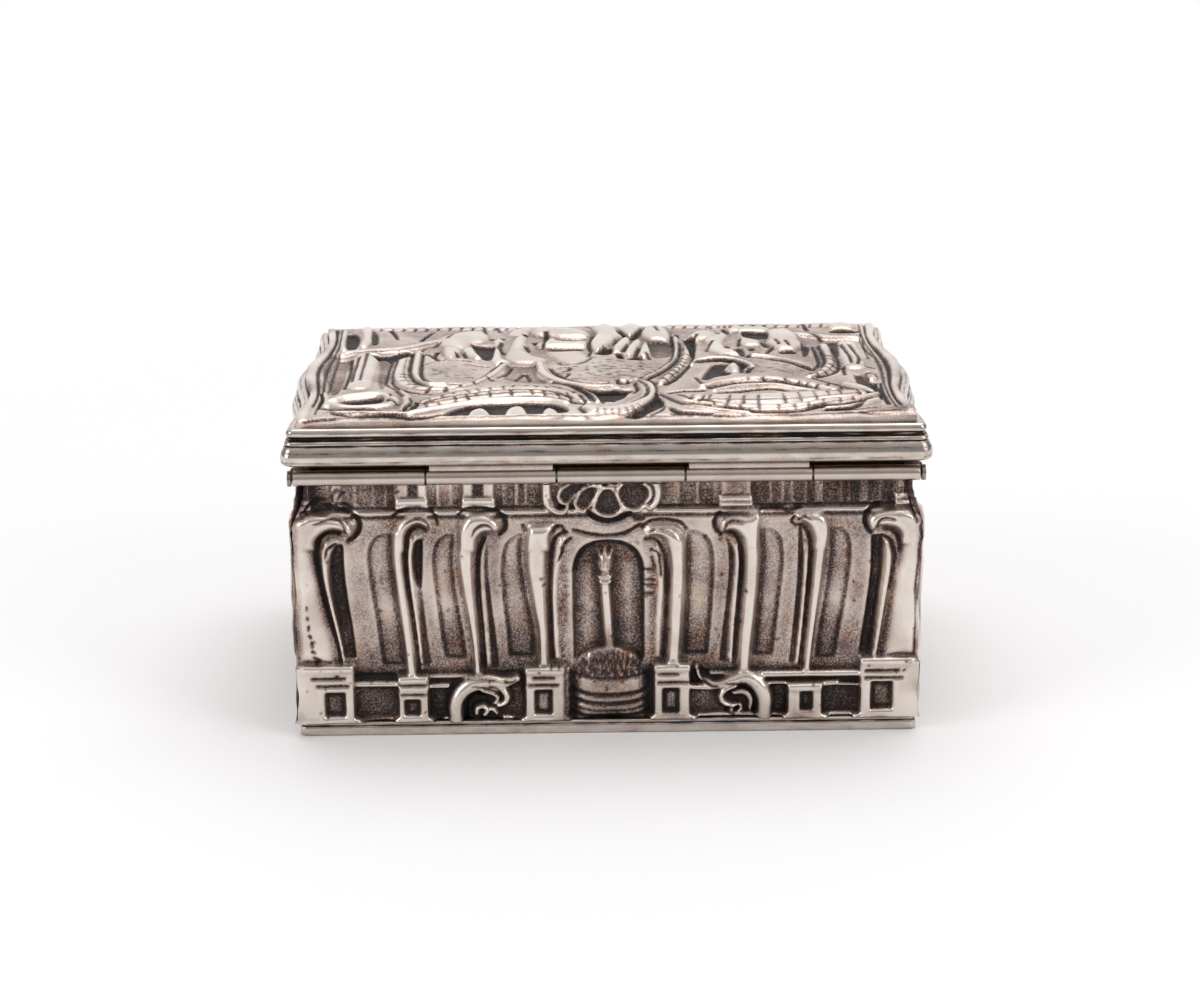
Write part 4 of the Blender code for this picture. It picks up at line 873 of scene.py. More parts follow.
def draw_wall(half, span, short, seed):
    """The whole relief of one wall. A short wall has no bays between its middle and its corners."""
    relief = Relief(-half, half, *span, WALL_PITCH)
    up = relief.up[:, None]
    columns = COLUMNS_FACE * rise((up - COLUMNS_LOW) / 0.6) * rise((COLUMNS_HIGH - up) / 0.4)
    relief.height += columns + FRIEZE_FACE * rise((up - FRIEZE_LOW) / 0.3)
    film_at_foot = 0.45 * rise((8.8 - up) / 1.2)
    # The frieze under the hinge and rim is darker: patina, and painted shade from their overhang.
    frieze_patina_and_shade = 0.3 * rise((up - 27.9) / 0.3)
    film_below = 0.25 * rise((17 - up) / 9)
    relief.dark += WALL_FILM + film_at_foot + frieze_patina_and_shade + film_below
    for left, right, low, high, level in BARS:
        relief.block(left, right, low, high, level)
    relief.band(level_path(CORNICE_UP), (0.6, 0.6), CORNICE_HEIGHT, base=0.1)
    for level, width, depth in CORNICE_LINES:
        relief.line(level_path(level), (width, width), depth)
    draw_frieze(relief, CENTRE_FRIEZE, ())
    draw_bay(relief, *CENTRE_BAY)
    if not short:
        draw_frieze(relief, MIDDLE_FRIEZE, MIDDLE_BLOCKS, MIDDLE_WINDOWS)
        draw_bay(relief, *MIDDLE_BAY)
        for outline in MIDDLE_CELLS:
            relief.field(outline, CELL_LEVEL, CELL_SLOPE, CELL_FILM)
        for points, widths, swell in LEAF_BANDS:
            relief.band(points, widths, swell, base=0.1)
        for points, widths, depth in LEAF_LINES:
            relief.line(points, widths, depth)
        draw_plinths(relief, MIDDLE_PLINTHS, 0.6)
    relief.inward = SHORT_WALL_INWARD if short else 0.0
    draw_frieze(relief, CORNER_FRIEZE, CORNER_BLOCKS)
    draw_bay(relief, *CORNER_BAY)
    for outline in CORNER_CELLS:
        relief.field(outline, CELL_LEVEL, CELL_SLOPE, CELL_FILM)
    draw_plinths(relief, CORNER_PLINTHS, 0.6)
    relief.inward = 0.0
    draw_plinths(relief, CENTRE_PLINTHS, 0.2)
    draw_niche(relief)
    draw_mound(relief)
    draw_shell(relief)
    for low, high, share in WALL_PITS:
        add_pits(relief, -half, half, low, high, int(share * half), seed + int(high))
    for end, edge, sunk in zip((1, -1) if short else (-1, 1), CORNER_EDGES, CORNER_SINKS):
        inward = half - end * relief.along
        sinking = rise((up - CORNER_SINK_LOW) / CORNER_SINK_RISE)
        relief.height -= sunk * sinking * rise(1 - inward / CORNER_SINK_RUN)
        edge_height = np.interp(relief.up, *zip(*edge))[:, None]
        relief.height += (edge_height - relief.height) * rise(1 - inward / CORNER_RUN)
    finish_relief(relief, seed, WALL_WORN)
    return relief


def finish_relief(relief, seed, worn):
    """Rounds what was cut, roughens the ground, dents the high parts, and lays patina and painted shade."""
    shape = relief.height.shape
    film = np.clip(relief.dark, 0, 1)
    relief.height = soften(relief.height, worn)
    relief.height += 0.03 * grain(shape, 0.9, seed) * (0.1 + film)
    relief.height += 0.025 * grain(shape, 5.0, seed + 1) + 0.035 * grain(shape, 16.0, seed + 2)
    # Hollows and valleys are darkened: partly patina that gathers there, partly painted shade where light
    # falls less.
    hollow = soften(relief.height, HOLLOW_RADIUS) - relief.height
    valley = soften(relief.height, VALLEY_RADIUS) - relief.height
    film = soften(film, 0.6)
    sunk = 0.9 * np.clip(hollow, -0.1, 0.15) + 0.35 * np.clip(valley, -0.3, 0.5)
    patina_and_shade = BARE_FILM + 0.6 * film + sunk * (1 - 0.6 * film)
    patina_and_shade += 0.05 * grain(shape, 9.0, seed + 3) + 0.04 * grain(shape, 24.0, seed + 4)
    relief.dark = np.clip(patina_and_shade, 0, 1)


def finished(name, bm):
    """The mesh of what was built."""
    mesh = bpy.data.meshes.new(name)
    bm.to_mesh(mesh)
    bm.free()
    return mesh


def points_of(mesh):
    """The mesh's points, one in each row."""
    places = np.empty(len(mesh.vertices) * 3, np.float32)
    mesh.vertices.foreach_get("co", places)
    return places.reshape(-1, 3)


def grid_places(mesh, columns, rows):
    """Column and row of each point of a flat grid, and which points are on its back."""
    places = points_of(mesh)
    column = np.rint((places[:, 0] + 1) / 2 * (columns - 1)).astype(int)
    row = np.rint((places[:, 1] + 1) / 2 * (rows - 1)).astype(int)
    return column, row, places[:, 2] < -0.5


def finish_mesh(name, mesh, places, patina_and_shade, body, materials, nodes):
    """Sets the points, their patina and painted shade, turns the faces outwards, and hands the piece to the
    frame.
    """
    mesh.vertices.foreach_set("co", (places * MM).astype(np.float32).ravel())
    layer = mesh.attributes.new("patina_and_shade", "FLOAT", "POINT")
    layer.data.foreach_set("value", patina_and_shade.astype(np.float32))
    bm = bmesh.new()
    bm.from_mesh(mesh)
    bmesh.ops.recalc_face_normals(bm, faces=bm.faces)
    bm.to_mesh(mesh)
    bm.free()
    for material in materials:
        mesh.materials.append(material)
    piece = bpy.data.objects.new(name, mesh)
    bpy.context.scene.collection.objects.link(piece)
    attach(piece, body)
    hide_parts(*nodes)
    return piece


def sheet_mesh(name, columns, rows):
    """A flat grid with a closed back, two units wide, ready to be pushed into shape."""
    bm = bmesh.new()
    bmesh.ops.create_grid(bm, x_segments=columns - 1, y_segments=rows - 1, size=1)
    rim = [edge for edge in bm.edges if edge.is_boundary]
    for edge in rim:
        edge.smooth = False
    wall = bmesh.ops.extrude_edge_only(bm, edges=rim)["geom"]
    back = [part for part in wall if isinstance(part, bmesh.types.BMVert)]
    bmesh.ops.translate(bm, verts=back, vec=(0, 0, -1))
    edges = [edge for edge in bm.edges if edge.is_boundary]
    for edge in edges:
        edge.smooth = False
    underside = bmesh.ops.contextual_create(bm, geom=edges)["faces"]
    for face in bm.faces:
        face.smooth = face not in underside
        face.material_index = int(face in underside)
    return finished(name, bm)


def add_wall(side, angle, relief, half_length, depth, material):
    """One wall, from its relief. Its ground is at depth from the middle, the next walls' at half_length."""
    columns = len(relief.along)
    mesh = sheet_mesh("wall_" + side, columns, len(relief.up))
    column, row, back = grid_places(mesh, columns, len(relief.up))
    along = relief.along[column]
    height = relief.height[row, column]
    inner = half_length - WALL_THICKNESS
    ends = half_length + relief.height[row, -1] - SEAM
    stretch = (ends - inner) / (relief.along[-1] - inner)
    beyond = np.maximum(np.abs(along) - inner, 0) * (stretch - 1)
    x = along + np.sign(along) * beyond
    x = np.where(back, x * inner / ends, x)
    y = -np.where(back, depth - WALL_THICKNESS, depth + height)
    places = np.stack([x, y, relief.up[row]], axis=1) @ np.array(Matrix.Rotation(angle, 3, "Z")).T
    patina_and_shade = relief.dark[row, column]
    materials = (material, gold_wash)
    return finish_mesh("wall_" + side, mesh, places, patina_and_shade, "box", materials, ["wall_" + side])


# The lid's drawing: how far along, and from -24 mm at the hinge to 24 mm at the opening side.
# Raised bands: points, widths, height
LID_BANDS = tenths((
    ((-359, -260, -359, 0, -359, 260), (15, 15), 8.5), ((359, -260, 359, 0, 359, 260), (15, 15), 8.5),
    ((-340, -120, -332, -150, -330, -180), (12, 12, 10), 9), ((-298, 76, -298, -86), (36, 36), 11.5),
    ((-332, 70, -314, 86, -285, 94, -256, 102, -230, 122, -208, 144), (20, 28, 28, 26, 22, 16), 13.5),
    ((-252, 90, -253, 0, -250, -50, -238, -88, -215, -105, -190, -102, -165, -86, -146, -56, -132, -20,
      -122, 16), (22, 23, 25, 27, 25, 23, 20, 16, 12), 10.5),
    ((-272, 36, -274, -40, -270, -94), (8, 9, 7), 9),
    ((-233, 84, -233, 0, -229, -50, -216, -78, -192, -84), (9, 9, 9, 8, 4), 12.5),
    ((-226, -192, -204, -162, -180, -143, -150, -126, -120, -117, -90, -115, -65, -123, -45, -140, -24,
      -166), (16, 36, 46, 54, 56, 56, 50, 40, 26), 12.5),
    ((-228, -214, -208, -198, -186, -183, -160, -168, -130, -158, -100, -154, -70, -159, -46, -176),
     (12, 15, 14, 12, 11, 11, 12, 10), 12),
    ((-322, -209, -296, -212, -260, -216, -232, -218), (12, 17, 16, 12), 11.5),
    ((-326, -172, -304, -189, -272, -188, -252, -172, -254, -144, -274, -126, -306, -136, -324, -156),
     (15, 15, 16, 15, 16, 15, 14, 13), 13),
    ((-246, -114, -238, -136, -234, -164, -238, -194), (11, 13, 12, 8), 11.5),
    ((-80, 22, -75, -28, -62, -64, -40, -88, -14, -102, 8, -100), (16, 21, 23, 25, 24, 14), 13),
    ((-124, 16, -134, -20, -146, -56), (9, 12, 10), 11.5),
    ((-48, -104, -28, -122, -16, -146, -9, -172), (13, 13, 11, 7), 12.5),
    ((39, -74, 52, -96, 56, -130, 49, -168, 32, -199, 14, -214, -7, -214, -19, -204),
     (14, 21, 23, 29, 40, 48, 44, 26), 14.5),
    ((23, -74, 24, -73), (22, 22), 14.5), ((12, -96, 16, -126, 9, -152), (14, 12, 8), 10),
    ((95, 170, 94, 90, 89, 32, 78, -4, 64, -34, 48, -61), (7, 7, 7, 7, 7, 7), 12.5),
    ((110, 130, 106, 60, 100, 20, 92, -15, 80, -50, 69, -84), (17, 17, 16, 16, 17, 19), 11),
    ((108, 4, 120, 26, 140, 35, 163, 27, 179, 5, 184, -16, 174, -32), (12, 16, 17, 17, 15, 15, 11), 13.5),
    ((162, 6, 162, -26), (12, 10), 10),
    ((118, -106, 142, -86, 170, -73, 200, -71, 224, -82, 246, -102, 274, -128),
     (14, 18, 22, 22, 23, 23, 18), 13.5),
    ((132, -124, 160, -103, 200, -96, 234, -118, 256, -134), (10, 16, 17, 16, 10), 10),
    ((114, -156, 146, -158, 180, -159, 220, -156, 260, -148, 306, -136), (34, 48, 52, 52, 40, 22), 11),
    ((94, -176, 124, -192, 150, -200, 180, -205, 210, -205, 240, -196, 270, -180, 300, -168, 324, -152),
     (16, 20, 23, 27, 27, 23, 22, 20, 14), 13.5),
    ((259, -212, 284, -208, 308, -189, 328, -166), (10, 14, 12, 8), 11.5),
    ((69, -142, 82, -172, 100, -194, 130, -212, 164, -225), (14, 16, 17, 15, 10), 11.5),
    ((283, 100, 283, 20, 278, -15, 266, -44, 252, -60), (19, 19, 19, 18, 14), 11),
    ((186, 56, 204, 48, 224, 30, 244, 6, 260, -22), (9, 9, 9, 8, 7), 11.5),
    ((312, 110, 312, -14), (29, 29), 11.5),
    ((246, 162, 270, 156, 294, 142, 330, 132), (18, 26, 26, 20), 14),
    ((315, 208, 315, 202), (38, 38), 14.5),
    ((324, -44, 332, -60, 324, -78, 319, -60, 324, -44), (9, 9, 9), 11.5),
    ((290, -94, 308, -114, 320, -136), (8, 12, 8), 11),
    ((-308, 220, -302, 170, -306, 120), (16, 18, 12), 12),
    ((-339, 210, -338, 150, -330, 100), (12, 12, 10), 11),
))

# Ribbed rope along the opening side: from where to where
LID_ROPES = ((-29.0, -9.0), (9.4, 29.4))

# Gentle domes of the medallions: points, widths, height
LID_DOMES = (
    (((-18.4, 3.0), (-18.2, -3.0)), (8.6, 7.6), 0.25),
    (((1.6, 6.0), (1.4, -3.4)), (15.0, 13.0), 0.3),
    (((22.0, -1.0), (21.0, -3.0)), (8.0, 7.0), 0.15),
)

# Petals and leaves heaped over the bands: outline, height
LID_PETALS = tenths((
    ((-216, 144, -204, 174, -182, 196, -158, 198, -146, 172, -148, 142, -166, 126, -174, 102, -194, 96,
      -208, 116), 13),
    ((-204, 106, -186, 104, -178, 90, -184, 70, -188, 48, -196, 52, -202, 78), 12.5),
    ((-179, 94, -166, 100, -159, 72, -152, 49, -161, 45, -172, 64), 12),
    ((-141, 148, -127, 148, -127, 110, -129, 70, -124, 44, -114, 22, -133, 14, -140, 38, -140, 80, -138,
      120), 11),
    ((-124, 72, -117, 125, -112, 166, -96, 172, -98, 130, -96, 88, -86, 62, -70, 46, -72, 26, -96, 20, -118,
      28, -125, 48), 11),
    ((-124, 174, -116, 208, -96, 222, -86, 202, -92, 182, -104, 166), 10),
    ((-96, 188, -80, 216, -52, 208, -26, 200, -14, 174, -19, 152, -48, 150, -68, 158, -89, 168), 15),
    ((-86, 116, -74, 138, -62, 150, -52, 132, -30, 128, -19, 129, -18, 106, -28, 98, -64, 97, -80, 100),
     14),
    ((-74, 82, -59, 85, -28, 89, -18, 68, -14, 44, -22, 28, -36, 16, -50, 22, -63, 48, -72, 66), 9.5),
    ((-13, 204, -8, 170, -16, 130, -14, 95, -7, 74, 3, 82, 7, 105, 12, 120, 19, 138, 28, 152, 23, 176, 19,
      205, 4, 222), 16),
    ((22, 208, 24, 176, 35, 153, 47, 168, 54, 196, 50, 218, 34, 224), 15),
    ((53, 206, 50, 166, 57, 138, 74, 128, 89, 138, 90, 168, 86, 198, 72, 218), 15),
    ((14, 102, 23, 134, 34, 148, 36, 124, 27, 86, 21, 66, 12, 72), 14.5),
    ((29, 82, 37, 116, 46, 138, 51, 116, 44, 80, 36, 46, 27, 52), 14),
    ((48, 92, 56, 128, 61, 86, 59, 52, 52, 36, 43, 42), 13.5),
    ((110, 154, 122, 180, 144, 182, 154, 156, 144, 140, 128, 136, 118, 122, 112, 134), 13),
    ((130, 142, 134, 110, 134, 80, 146, 60, 170, 46, 178, 54, 165, 84, 156, 104, 157, 130, 164, 162, 152,
      176), 11.5),
    ((164, 172, 176, 182, 179, 154, 176, 124, 182, 102, 203, 104, 204, 128, 188, 142, 182, 172, 218, 178,
      218, 202, 180, 210, 164, 196), 11.5),
    ((212, 180, 240, 190, 254, 166, 255, 134, 258, 104, 248, 80, 236, 74, 222, 80, 214, 98, 208, 114, 214,
      144), 15),
))

# Openings cut down to the ground: outline, level, how dark
LID_OPENINGS = tenths((
    ((-349, 90, -336, 70, -332, 48, -319, 48, -317, 0, -318, -70, -320, -110, -326, -124, -338, -60, -347,
      0), 2, 3.5),
    ((-292, 72, -270, 74, -254, 88, -240, 82, -250, 58, -260, 42, -278, 42), 0, 9.5),
    ((-281, 60, -278, 0, -276, -60, -270, -100, -266, -80, -268, 0, -266, 40), 3.5, 4.5),
    ((-317, -168, -309, -152, -293, -144, -276, -137, -266, -140, -265, -155, -272, -170, -286, -178, -305,
      -180, -314, -176), -1.5, 10),
    ((-167, 127, -160, 90, -152, 56, -145, 44, -140, 54, -138, 90, -139, 116), 0, 10),
    ((-332, 190, -325, 196, -316, 180, -314, 140, -318, 110, -326, 116, -330, 150), 0.5, 8.5),
    ((-189, -224, -183, -204, -164, -182, -144, -172, -120, -168, -96, -166, -74, -170, -56, -182, -45,
      -198, -46, -214, -60, -220, -120, -224, -176, -225), -0.5, 10),
    ((-120, 12, -84, 9, -83, -25, -79, -54, -70, -74, -86, -76, -106, -69, -122, -54, -122, -20), 3, 3),
    ((-25, -114, 2, -114, 32, -112, 27, -130, 12, -158, 2, -168, -8, -146), 0, 10),
    ((61, -140, 69, -182, 54, -215, 38, -235, 24, -234, 44, -204, 58, -170), 0.5, 10),
    ((74, -193, 90, -212, 125, -223, 100, -228, 78, -220), 1, 9.5),
    ((57, 132, 90, 128, 88, 105, 86, 60, 72, 44, 63, 52, 60, 90), 2.5, 4),
    ((105, 145, 116, 148, 120, 126, 118, 90, 113, 50, 109, 90), 0.5, 9.5),
    ((2, 102, 12, 94, 10, 64, 2, 58, -9, 68, -2, 84), 1, 9.5), ((16, 66, 23, 62, 26, 37, 20, 38), 2, 9.5),
    ((32, 39, 41, 46, 49, 38, 47, 31, 34, 31), 2.5, 9),
    ((119, -64, 121, -50, 130, -15, 138, 8, 152, 10, 146, -20, 156, -32, 152, -44, 135, -55, 126, -67), 1,
     9.5),
    ((134, -136, 140, -127, 160, -119, 180, -112, 195, -109, 210, -112, 224, -122, 240, -130, 225, -133,
      206, -123, 190, -122, 170, -127, 154, -136, 144, -140), 0, 10),
    ((65, -131, 90, -118, 119, -116, 118, -124, 92, -126, 72, -136), 1, 10),
    ((307, -50, 316, -54, 319, -80, 326, -90, 332, -120, 328, -146, 318, -118, 310, -106, 306, -80), 1.5,
     8),
    ((182, 180, 214, 174, 213, 146, 198, 144, 186, 156), 2, 7.5),
    ((157, 106, 162, 100, 161, 78, 156, 82), 2, 9), ((166, 92, 178, 94, 179, 54, 172, 52), 2, 8),
    ((186, 94, 193, 92, 192, 81, 187, 82), 3, 9), ((224, 74, 242, 74, 243, 62, 226, 63), 2, 9.5),
    ((255, 110, 263, 96, 259, 60, 253, 46, 254, 80), 2, 8.5),
    ((287, 122, 301, 118, 299, 70, 295, 44, 291, 80), 3, 8),
    ((300, 190, 341, 188, 332, 175, 301, 177), 2, 10), ((-146, 160, -129, 164, -125, 154, -142, 150), 3, 8),
    ((-301, 216, -292, 188, -289, 142, -295, 134, -299, 170), 2, 7.5),
    ((-52, 148, -30, 144, -30, 129, -50, 129), 4, 9),
    ((-70, 96, -50, 95, -27, 96, -29, 87, -60, 84), 5, 9.5),
))

# Bright arches left standing in the long opening beside the ribbed arch
LID_ARCHES = tenths((
    (-161, -234, -159, -209, -151, -193, -143, -194, -138, -208, -136, -234),
    (-118, -234, -116, -202, -109, -185, -99, -184, -94, -202, -93, -234),
    (-75, -234, -73, -204, -68, -193, -61, -198, -56, -214, -54, -234),
))

# Engraved lines of the lid: points, widths, depth
LID_LINES = tenths((
    ((-342, -210, -342, 0, -342, 220), (2.5, 3.5, 2.5), 3),
    ((342, -210, 342, 0, 342, 220), (2.5, 3.5, 2.5), 3),
    ((-333, -120, -333, 0, -333, 80), (1.5, 3, 2), 2.5), ((333, 30, 333, 80, 333, 160), (1.5, 3, 2), 2.5),
    ((-345, -227, -240, -233, -80, -229, 80, -232, 240, -229, 345, -226), (1.5, 2.5, 2), 1.5),
    ((-350.5, -180, -350.5, 0, -350.5, 220), (3, 3.5, 4, 3), 3.5),
    ((350.5, -200, 350.5, 0, 350.5, 220), (4, 5, 7, 4), 4),
    ((-346, -120, -338, -150, -340, -182, -328, -189), (3.5, 6, 4), 4.5),
    ((340, 170, 338, 120, 335, 90, 339, 40), (2.5, 3, 3), 3),
    ((336, -90, 333, -140, 334, -195), (5, 8, 9), 5), ((-316, 50, -312, -20, -314, -95), (5, 5.5, 3.5), 5),
    ((-307, 60, -307, -70), (3, 3), 3.5), ((-298, 76, -298, -63), (3, 3), 3.5),
    ((-264, 40, -265, -40, -263, -80, -249, -106), (4, 4, 3), 4),
    ((-258, 40, -259, -40, -255, -80, -243, -104, -226, -120, -208, -126), (4, 3, 3.5, 4), 4),
    ((-241, 84, -240, 0, -236, -40, -226, -72, -210, -90, -182, -92), (3.5, 4, 4, 2), 4),
    ((-228, 76, -226, 0, -223, -40, -212, -68, -195, -77, -175, -77, -155, -62, -144, -35, -136, -5, -126,
      20), (4, 4.5, 4.5, 5, 4), 4.5),
    ((-250, -34, -242, -32), (2, 3), 2.5), ((-250, -50, -239, -45), (2, 3), 2.5),
    ((-249, -69, -234, -58), (2, 3), 3), ((-239, -88, -228, -74), (2.5, 4), 3),
    ((-229, -100, -220, -85), (3, 4), 3.5), ((-214, -118, -208, -94), (2.5, 3.5), 3.5),
    ((-192, -113, -190, -94), (3, 3), 3.5), ((-174, -97, -174, -88), (3, 3), 3),
    ((-157, -83, -159, -74), (3, 4), 3.5), ((-144, -50, -135, -66), (2, 3), 3),
    ((-259, -120, -254, -142), (4, 3), 4), ((-250, -110, -240, -140), (4, 2), 3.5),
    ((-258, -152, -246, -174), (3, 4), 4), ((-232, -148, -230, -172, -238, -202), (2, 3, 4), 4),
    ((-222, -160, -223, -184, -229, -206), (6, 8, 5), 6),
    ((-335, -188, -318, -194, -295, -197, -270, -199, -240, -206), (4, 4.5, 3.5), 4.5),
    ((-288, -202, -289, -210), (3, 2), 3), ((-272, -202, -273, -210), (3, 2), 3),
    ((-254, -204, -255, -212), (3, 2), 3), ((-324, -190, -314, -199), (3, 4), 4),
    ((-330, -203, -310, -218, -294, -225, -260, -225, -225, -228, -205, -226, -190, -218, -178, -210),
     (2, 5, 8, 8, 8, 9), 6),
    ((-356, -231, -335, -229, -314, -231), (2, 9, 2), 5), ((-194, 37, -178, 37, -165, 32), (3, 6, 3), 3.5),
    ((-170, 17, -158, 12, -143, 8), (3, 5, 4), 4),
    ((-209, 88, -212, 66, -204, 40, -199, 48), (5, 5, 3), 4.5),
    ((-226, 78, -218, 72, -212, 58), (5, 4, 2), 4), ((-224, 28, -212, 36), (5, 3), 3.5),
    ((-185, 76, -182, 60), (4, 5), 4), ((-176, 78, -172, 54), (4, 5), 4),
    ((-216, 114, -208, 132), (2, 3), 3), ((-234, 86, -226, 106), (3, 3), 3.5),
    ((-200, 150, -194, 172, -180, 192), (3, 6, 3), 4), ((-234, 150, -228, 176, -220, 200), (4, 6, 3), 4),
    ((-276, 210, -269, 186, -264, 160), (7, 5, 2), 4), ((-138, 226, -132, 196), (3, 3), 3),
    ((-155, 224, -150, 184), (3, 3), 3), ((-129, 130, -131, 100, -124, 72), (5, 9, 4), 3.5),
    ((-229, -200, -222, -170, -216, -154, -200, -134, -184, -118, -160, -103, -130, -92, -100, -86, -80,
      -88, -60, -95, -40, -110, -20, -140, -12, -170), (5, 3.5, 3, 2, 3, 3.5), 4),
    ((-216, -180, -200, -160, -180, -146, -160, -134, -130, -122, -110, -119, -80, -121, -60, -132, -40,
      -156), (5, 3.5, 3, 2.5, 3, 3.5), 4),
    ((-220, -202, -200, -188, -180, -173, -150, -157, -125, -147, -100, -142, -80, -144, -60, -154, -40,
      -172, -25, -180), (4, 6, 6.5, 7, 6.5, 5), 5.5),
    ((-130, -240, -90, -241, -50, -232), (4, 6, 2), 4), ((-196, -238, -140, -240), (2, 5), 3.5),
    ((-114, 5, -118, -20, -130, -50), (4, 4, 3), 3), ((-109, -60, -97, -24, -90, -60), (4, 5, 3), 3),
    ((-66, 0, -60, -26, -50, -50, -35, -70, -15, -82, 3, -85), (3, 5, 6, 7, 8), 5),
    ((-54, 2, -43, 1, -42, -12, -50, -18), (3, 4, 3), 3), ((-50, -26, -43, -30, -46, -46), (3, 3, 3), 3),
    ((-59, -24, -46, -58), (5, 3), 3),
    ((-62, -78, -40, -96, -25, -113, 0, -118, 30, -114), (3, 6, 9, 7), 5),
    ((-52, -98, -32, -114, -20, -136, -13, -166), (3, 3, 3.5), 3.5),
    ((-38, -110, -24, -132, -18, -170), (3, 3, 4), 3.5), ((-30, -148, -24, -174), (5, 5), 4),
    ((-8, -146, -2, -174), (6, 3), 4), ((26, -124, 20, -150, 9, -168), (3, 4, 3), 4),
    ((16, -70, 17, -82, 24, -85, 31, -79), (2.5, 3.5, 2.5), 4), ((23, -64, 30, -67), (2.5, 2.5), 3),
    ((52, -68, 61, -95, 62, -130, 57, -170, 45, -200), (3, 4, 5, 6), 4),
    ((36, -224, 16, -236, -8, -239, -22, -233), (7, 6, 4), 5),
    ((41, -78, 50, -100, 52, -130, 47, -156, 36, -176, 22, -190, 9, -193, -4, -190), (3, 3, 5, 6, 5, 3),
     4.2),
    ((37, -84, 39, -110, 34, -130), (3, 6, 3), 3.5), ((-25, -186, -30, -203, -24, -220), (3, 5, 3), 4),
    ((70, -190, 64, -214, 50, -232), (2, 3.5, 2), 3.5),
    ((90.5, 160, 90, 80, 85, 30, 75, 0, 62, -30, 46, -60), (3, 3, 3.5, 4), 4),
    ((99, 130, 98, 80, 92, 30, 82, -5, 70, -34, 53, -66), (3, 3, 3.5, 4), 4),
    ((114, 100, 113, 40, 106, 0, 95, -40, 84, -70, 74, -90), (3, 4, 4, 7), 4),
    ((96, 36, 106, 26), (3, 3.5), 3.5), ((94, 22, 104, 10), (3, 3.5), 3.5), ((92, 4, 100, -6), (5, 3.5), 4),
    ((88, -10, 96, -20), (5, 3.5), 4), ((82, -24, 90, -36), (4, 3.5), 3.5),
    ((76, -40, 86, -52), (3.5, 3.5), 3.5), ((68, -60, 78, -74), (3, 4.5), 3.5),
    ((56, -70, 64, -88), (3, 3.5), 3.5), ((96, 64, 109, 52), (2, 2.5), 3), ((97, 90, 110, 80), (2, 2.5), 3),
    ((-11, 160, -17, 120, -15, 80, -18, 56), (5, 6, 4, 2), 4),
    ((-15, 44, -22, 26, -32, 16), (3, 3, 4), 2.5), ((19, 135, 15, 110), (4, 5), 4),
    ((34, 110, 26, 75), (5, 5), 4), ((47, 90, 40, 40), (4, 5), 4), ((55, 58, 59, 34), (5, 3), 3.5),
    ((22, 190, 30, 160, 36, 148, 43, 160, 54, 200), (3, 4, 9, 4, 6), 4.5), ((70, 196, 74, 170), (3, 2), 3),
    ((97, 172, 97, 154), (6, 4), 4), ((-100, 176, -98, 166), (6, 6), 4), ((-87, 134, -84, 122), (7, 4), 4),
    ((-72, 176, -72, 140, -76, 100), (7, 6, 3), 4), ((-98, 116, -93, 84), (6, 3), 3.5),
    ((-18, 220, -6, 214, 3, 226), (6, 4, 3), 3.5), ((-56, 28, -52, 14), (3, 2), 2.5),
    ((112, 12, 125, 23, 140, 27, 155, 22, 168, 9, 177, -8), (6, 7, 7, 6), 4.2),
    ((172, 0, 170, -34), (5, 4), 4), ((183, -22, 176, -34), (5, 8), 4.5),
    ((153, 8, 148, -14, 150, -26), (3, 3, 2), 4), ((126, 46, 144, 50, 160, 46), (3, 4, 2), 2),
    ((112, -56, 119, -86, 122, -98), (4, 3, 5), 4),
    ((120, -96, 135, -80, 150, -70, 170, -64, 200, -60, 220, -66, 235, -78, 250, -90, 265, -106, 272, -116),
     (5, 5, 6, 6, 7, 7), 5),
    ((126, -110, 140, -100, 160, -88, 190, -82, 210, -85, 230, -98, 245, -114, 254, -126),
     (5, 4.5, 5, 5.5, 5), 4.2),
    ((176, -66, 175, -78), (2, 2), 2.5), ((192, -64, 194, -80), (2, 3), 3),
    ((218, -70, 221, -88), (3, 3), 3), ((239, -83, 234, -100), (3, 3), 3.5),
    ((249, -93, 242, -110), (3, 3), 3.5), ((259, -106, 252, -122), (3.5, 3), 3.5),
    ((254, -64, 288, -108, 316, -140), (2, 4, 5), 4), ((272, -90, 268, -104), (2, 3), 3),
    ((297, -10, 295, -50), (5, 4), 4), ((286, -110, 282, -120), (2, 3), 3),
    ((112, -166, 130, -178, 142, -185, 165, -189, 200, -189, 230, -188, 240, -180, 260, -169, 285, -161,
      305, -154, 320, -140), (5, 7, 9, 10, 10, 6, 5, 5), 5.5),
    ((100, -189, 120, -203, 150, -211, 180, -220, 210, -221, 230, -216, 250, -203, 280, -190, 305, -177,
      325, -163), (4, 6, 8, 8, 5, 4.5), 5),
    ((255, -216, 280, -213, 295, -204, 305, -188), (5, 6, 8, 4), 5),
    ((255, -218, 290, -216, 320, -206), (4, 6, 2), 4),
    ((65, -140, 80, -170, 95, -190, 120, -200), (4, 5, 6, 4), 4.5),
    ((88, -140, 98, -152, 104, -162), (6, 3, 2), 4), ((108, -140, 96, -170), (3, 3), 4),
    ((118, -152, 110, -184), (3, 3), 4),
    ((321, -80, 320, -56, 326, -49, 332, -56, 332, -68), (3, 3, 3.5, 3), 3.5),
    ((329, -90, 323, -120, 329, -144, 326, -172), (5, 4, 5), 5),
    ((268, 100, 269, 30, 267, 0, 260, -22), (3.5, 3.5, 4), 4),
    ((275, 100, 277, 40, 275, 10, 269, -16), (3.5, 3.5, 2), 3.5),
    ((292, 90, 293, 10, 289, -25, 280, -45, 262, -62), (3.5, 3.5, 4.5, 6), 4),
    ((280, -5, 290, -16), (3, 3), 3), ((273, -20, 285, -32), (3, 3), 3), ((264, -32, 276, -46), (3, 3), 3),
    ((254, -40, 264, -56), (3, 3.5), 3), ((281, 40, 290, 32), (2, 2.5), 2.5),
    ((281, 24, 290, 15), (2, 2.5), 2.5),
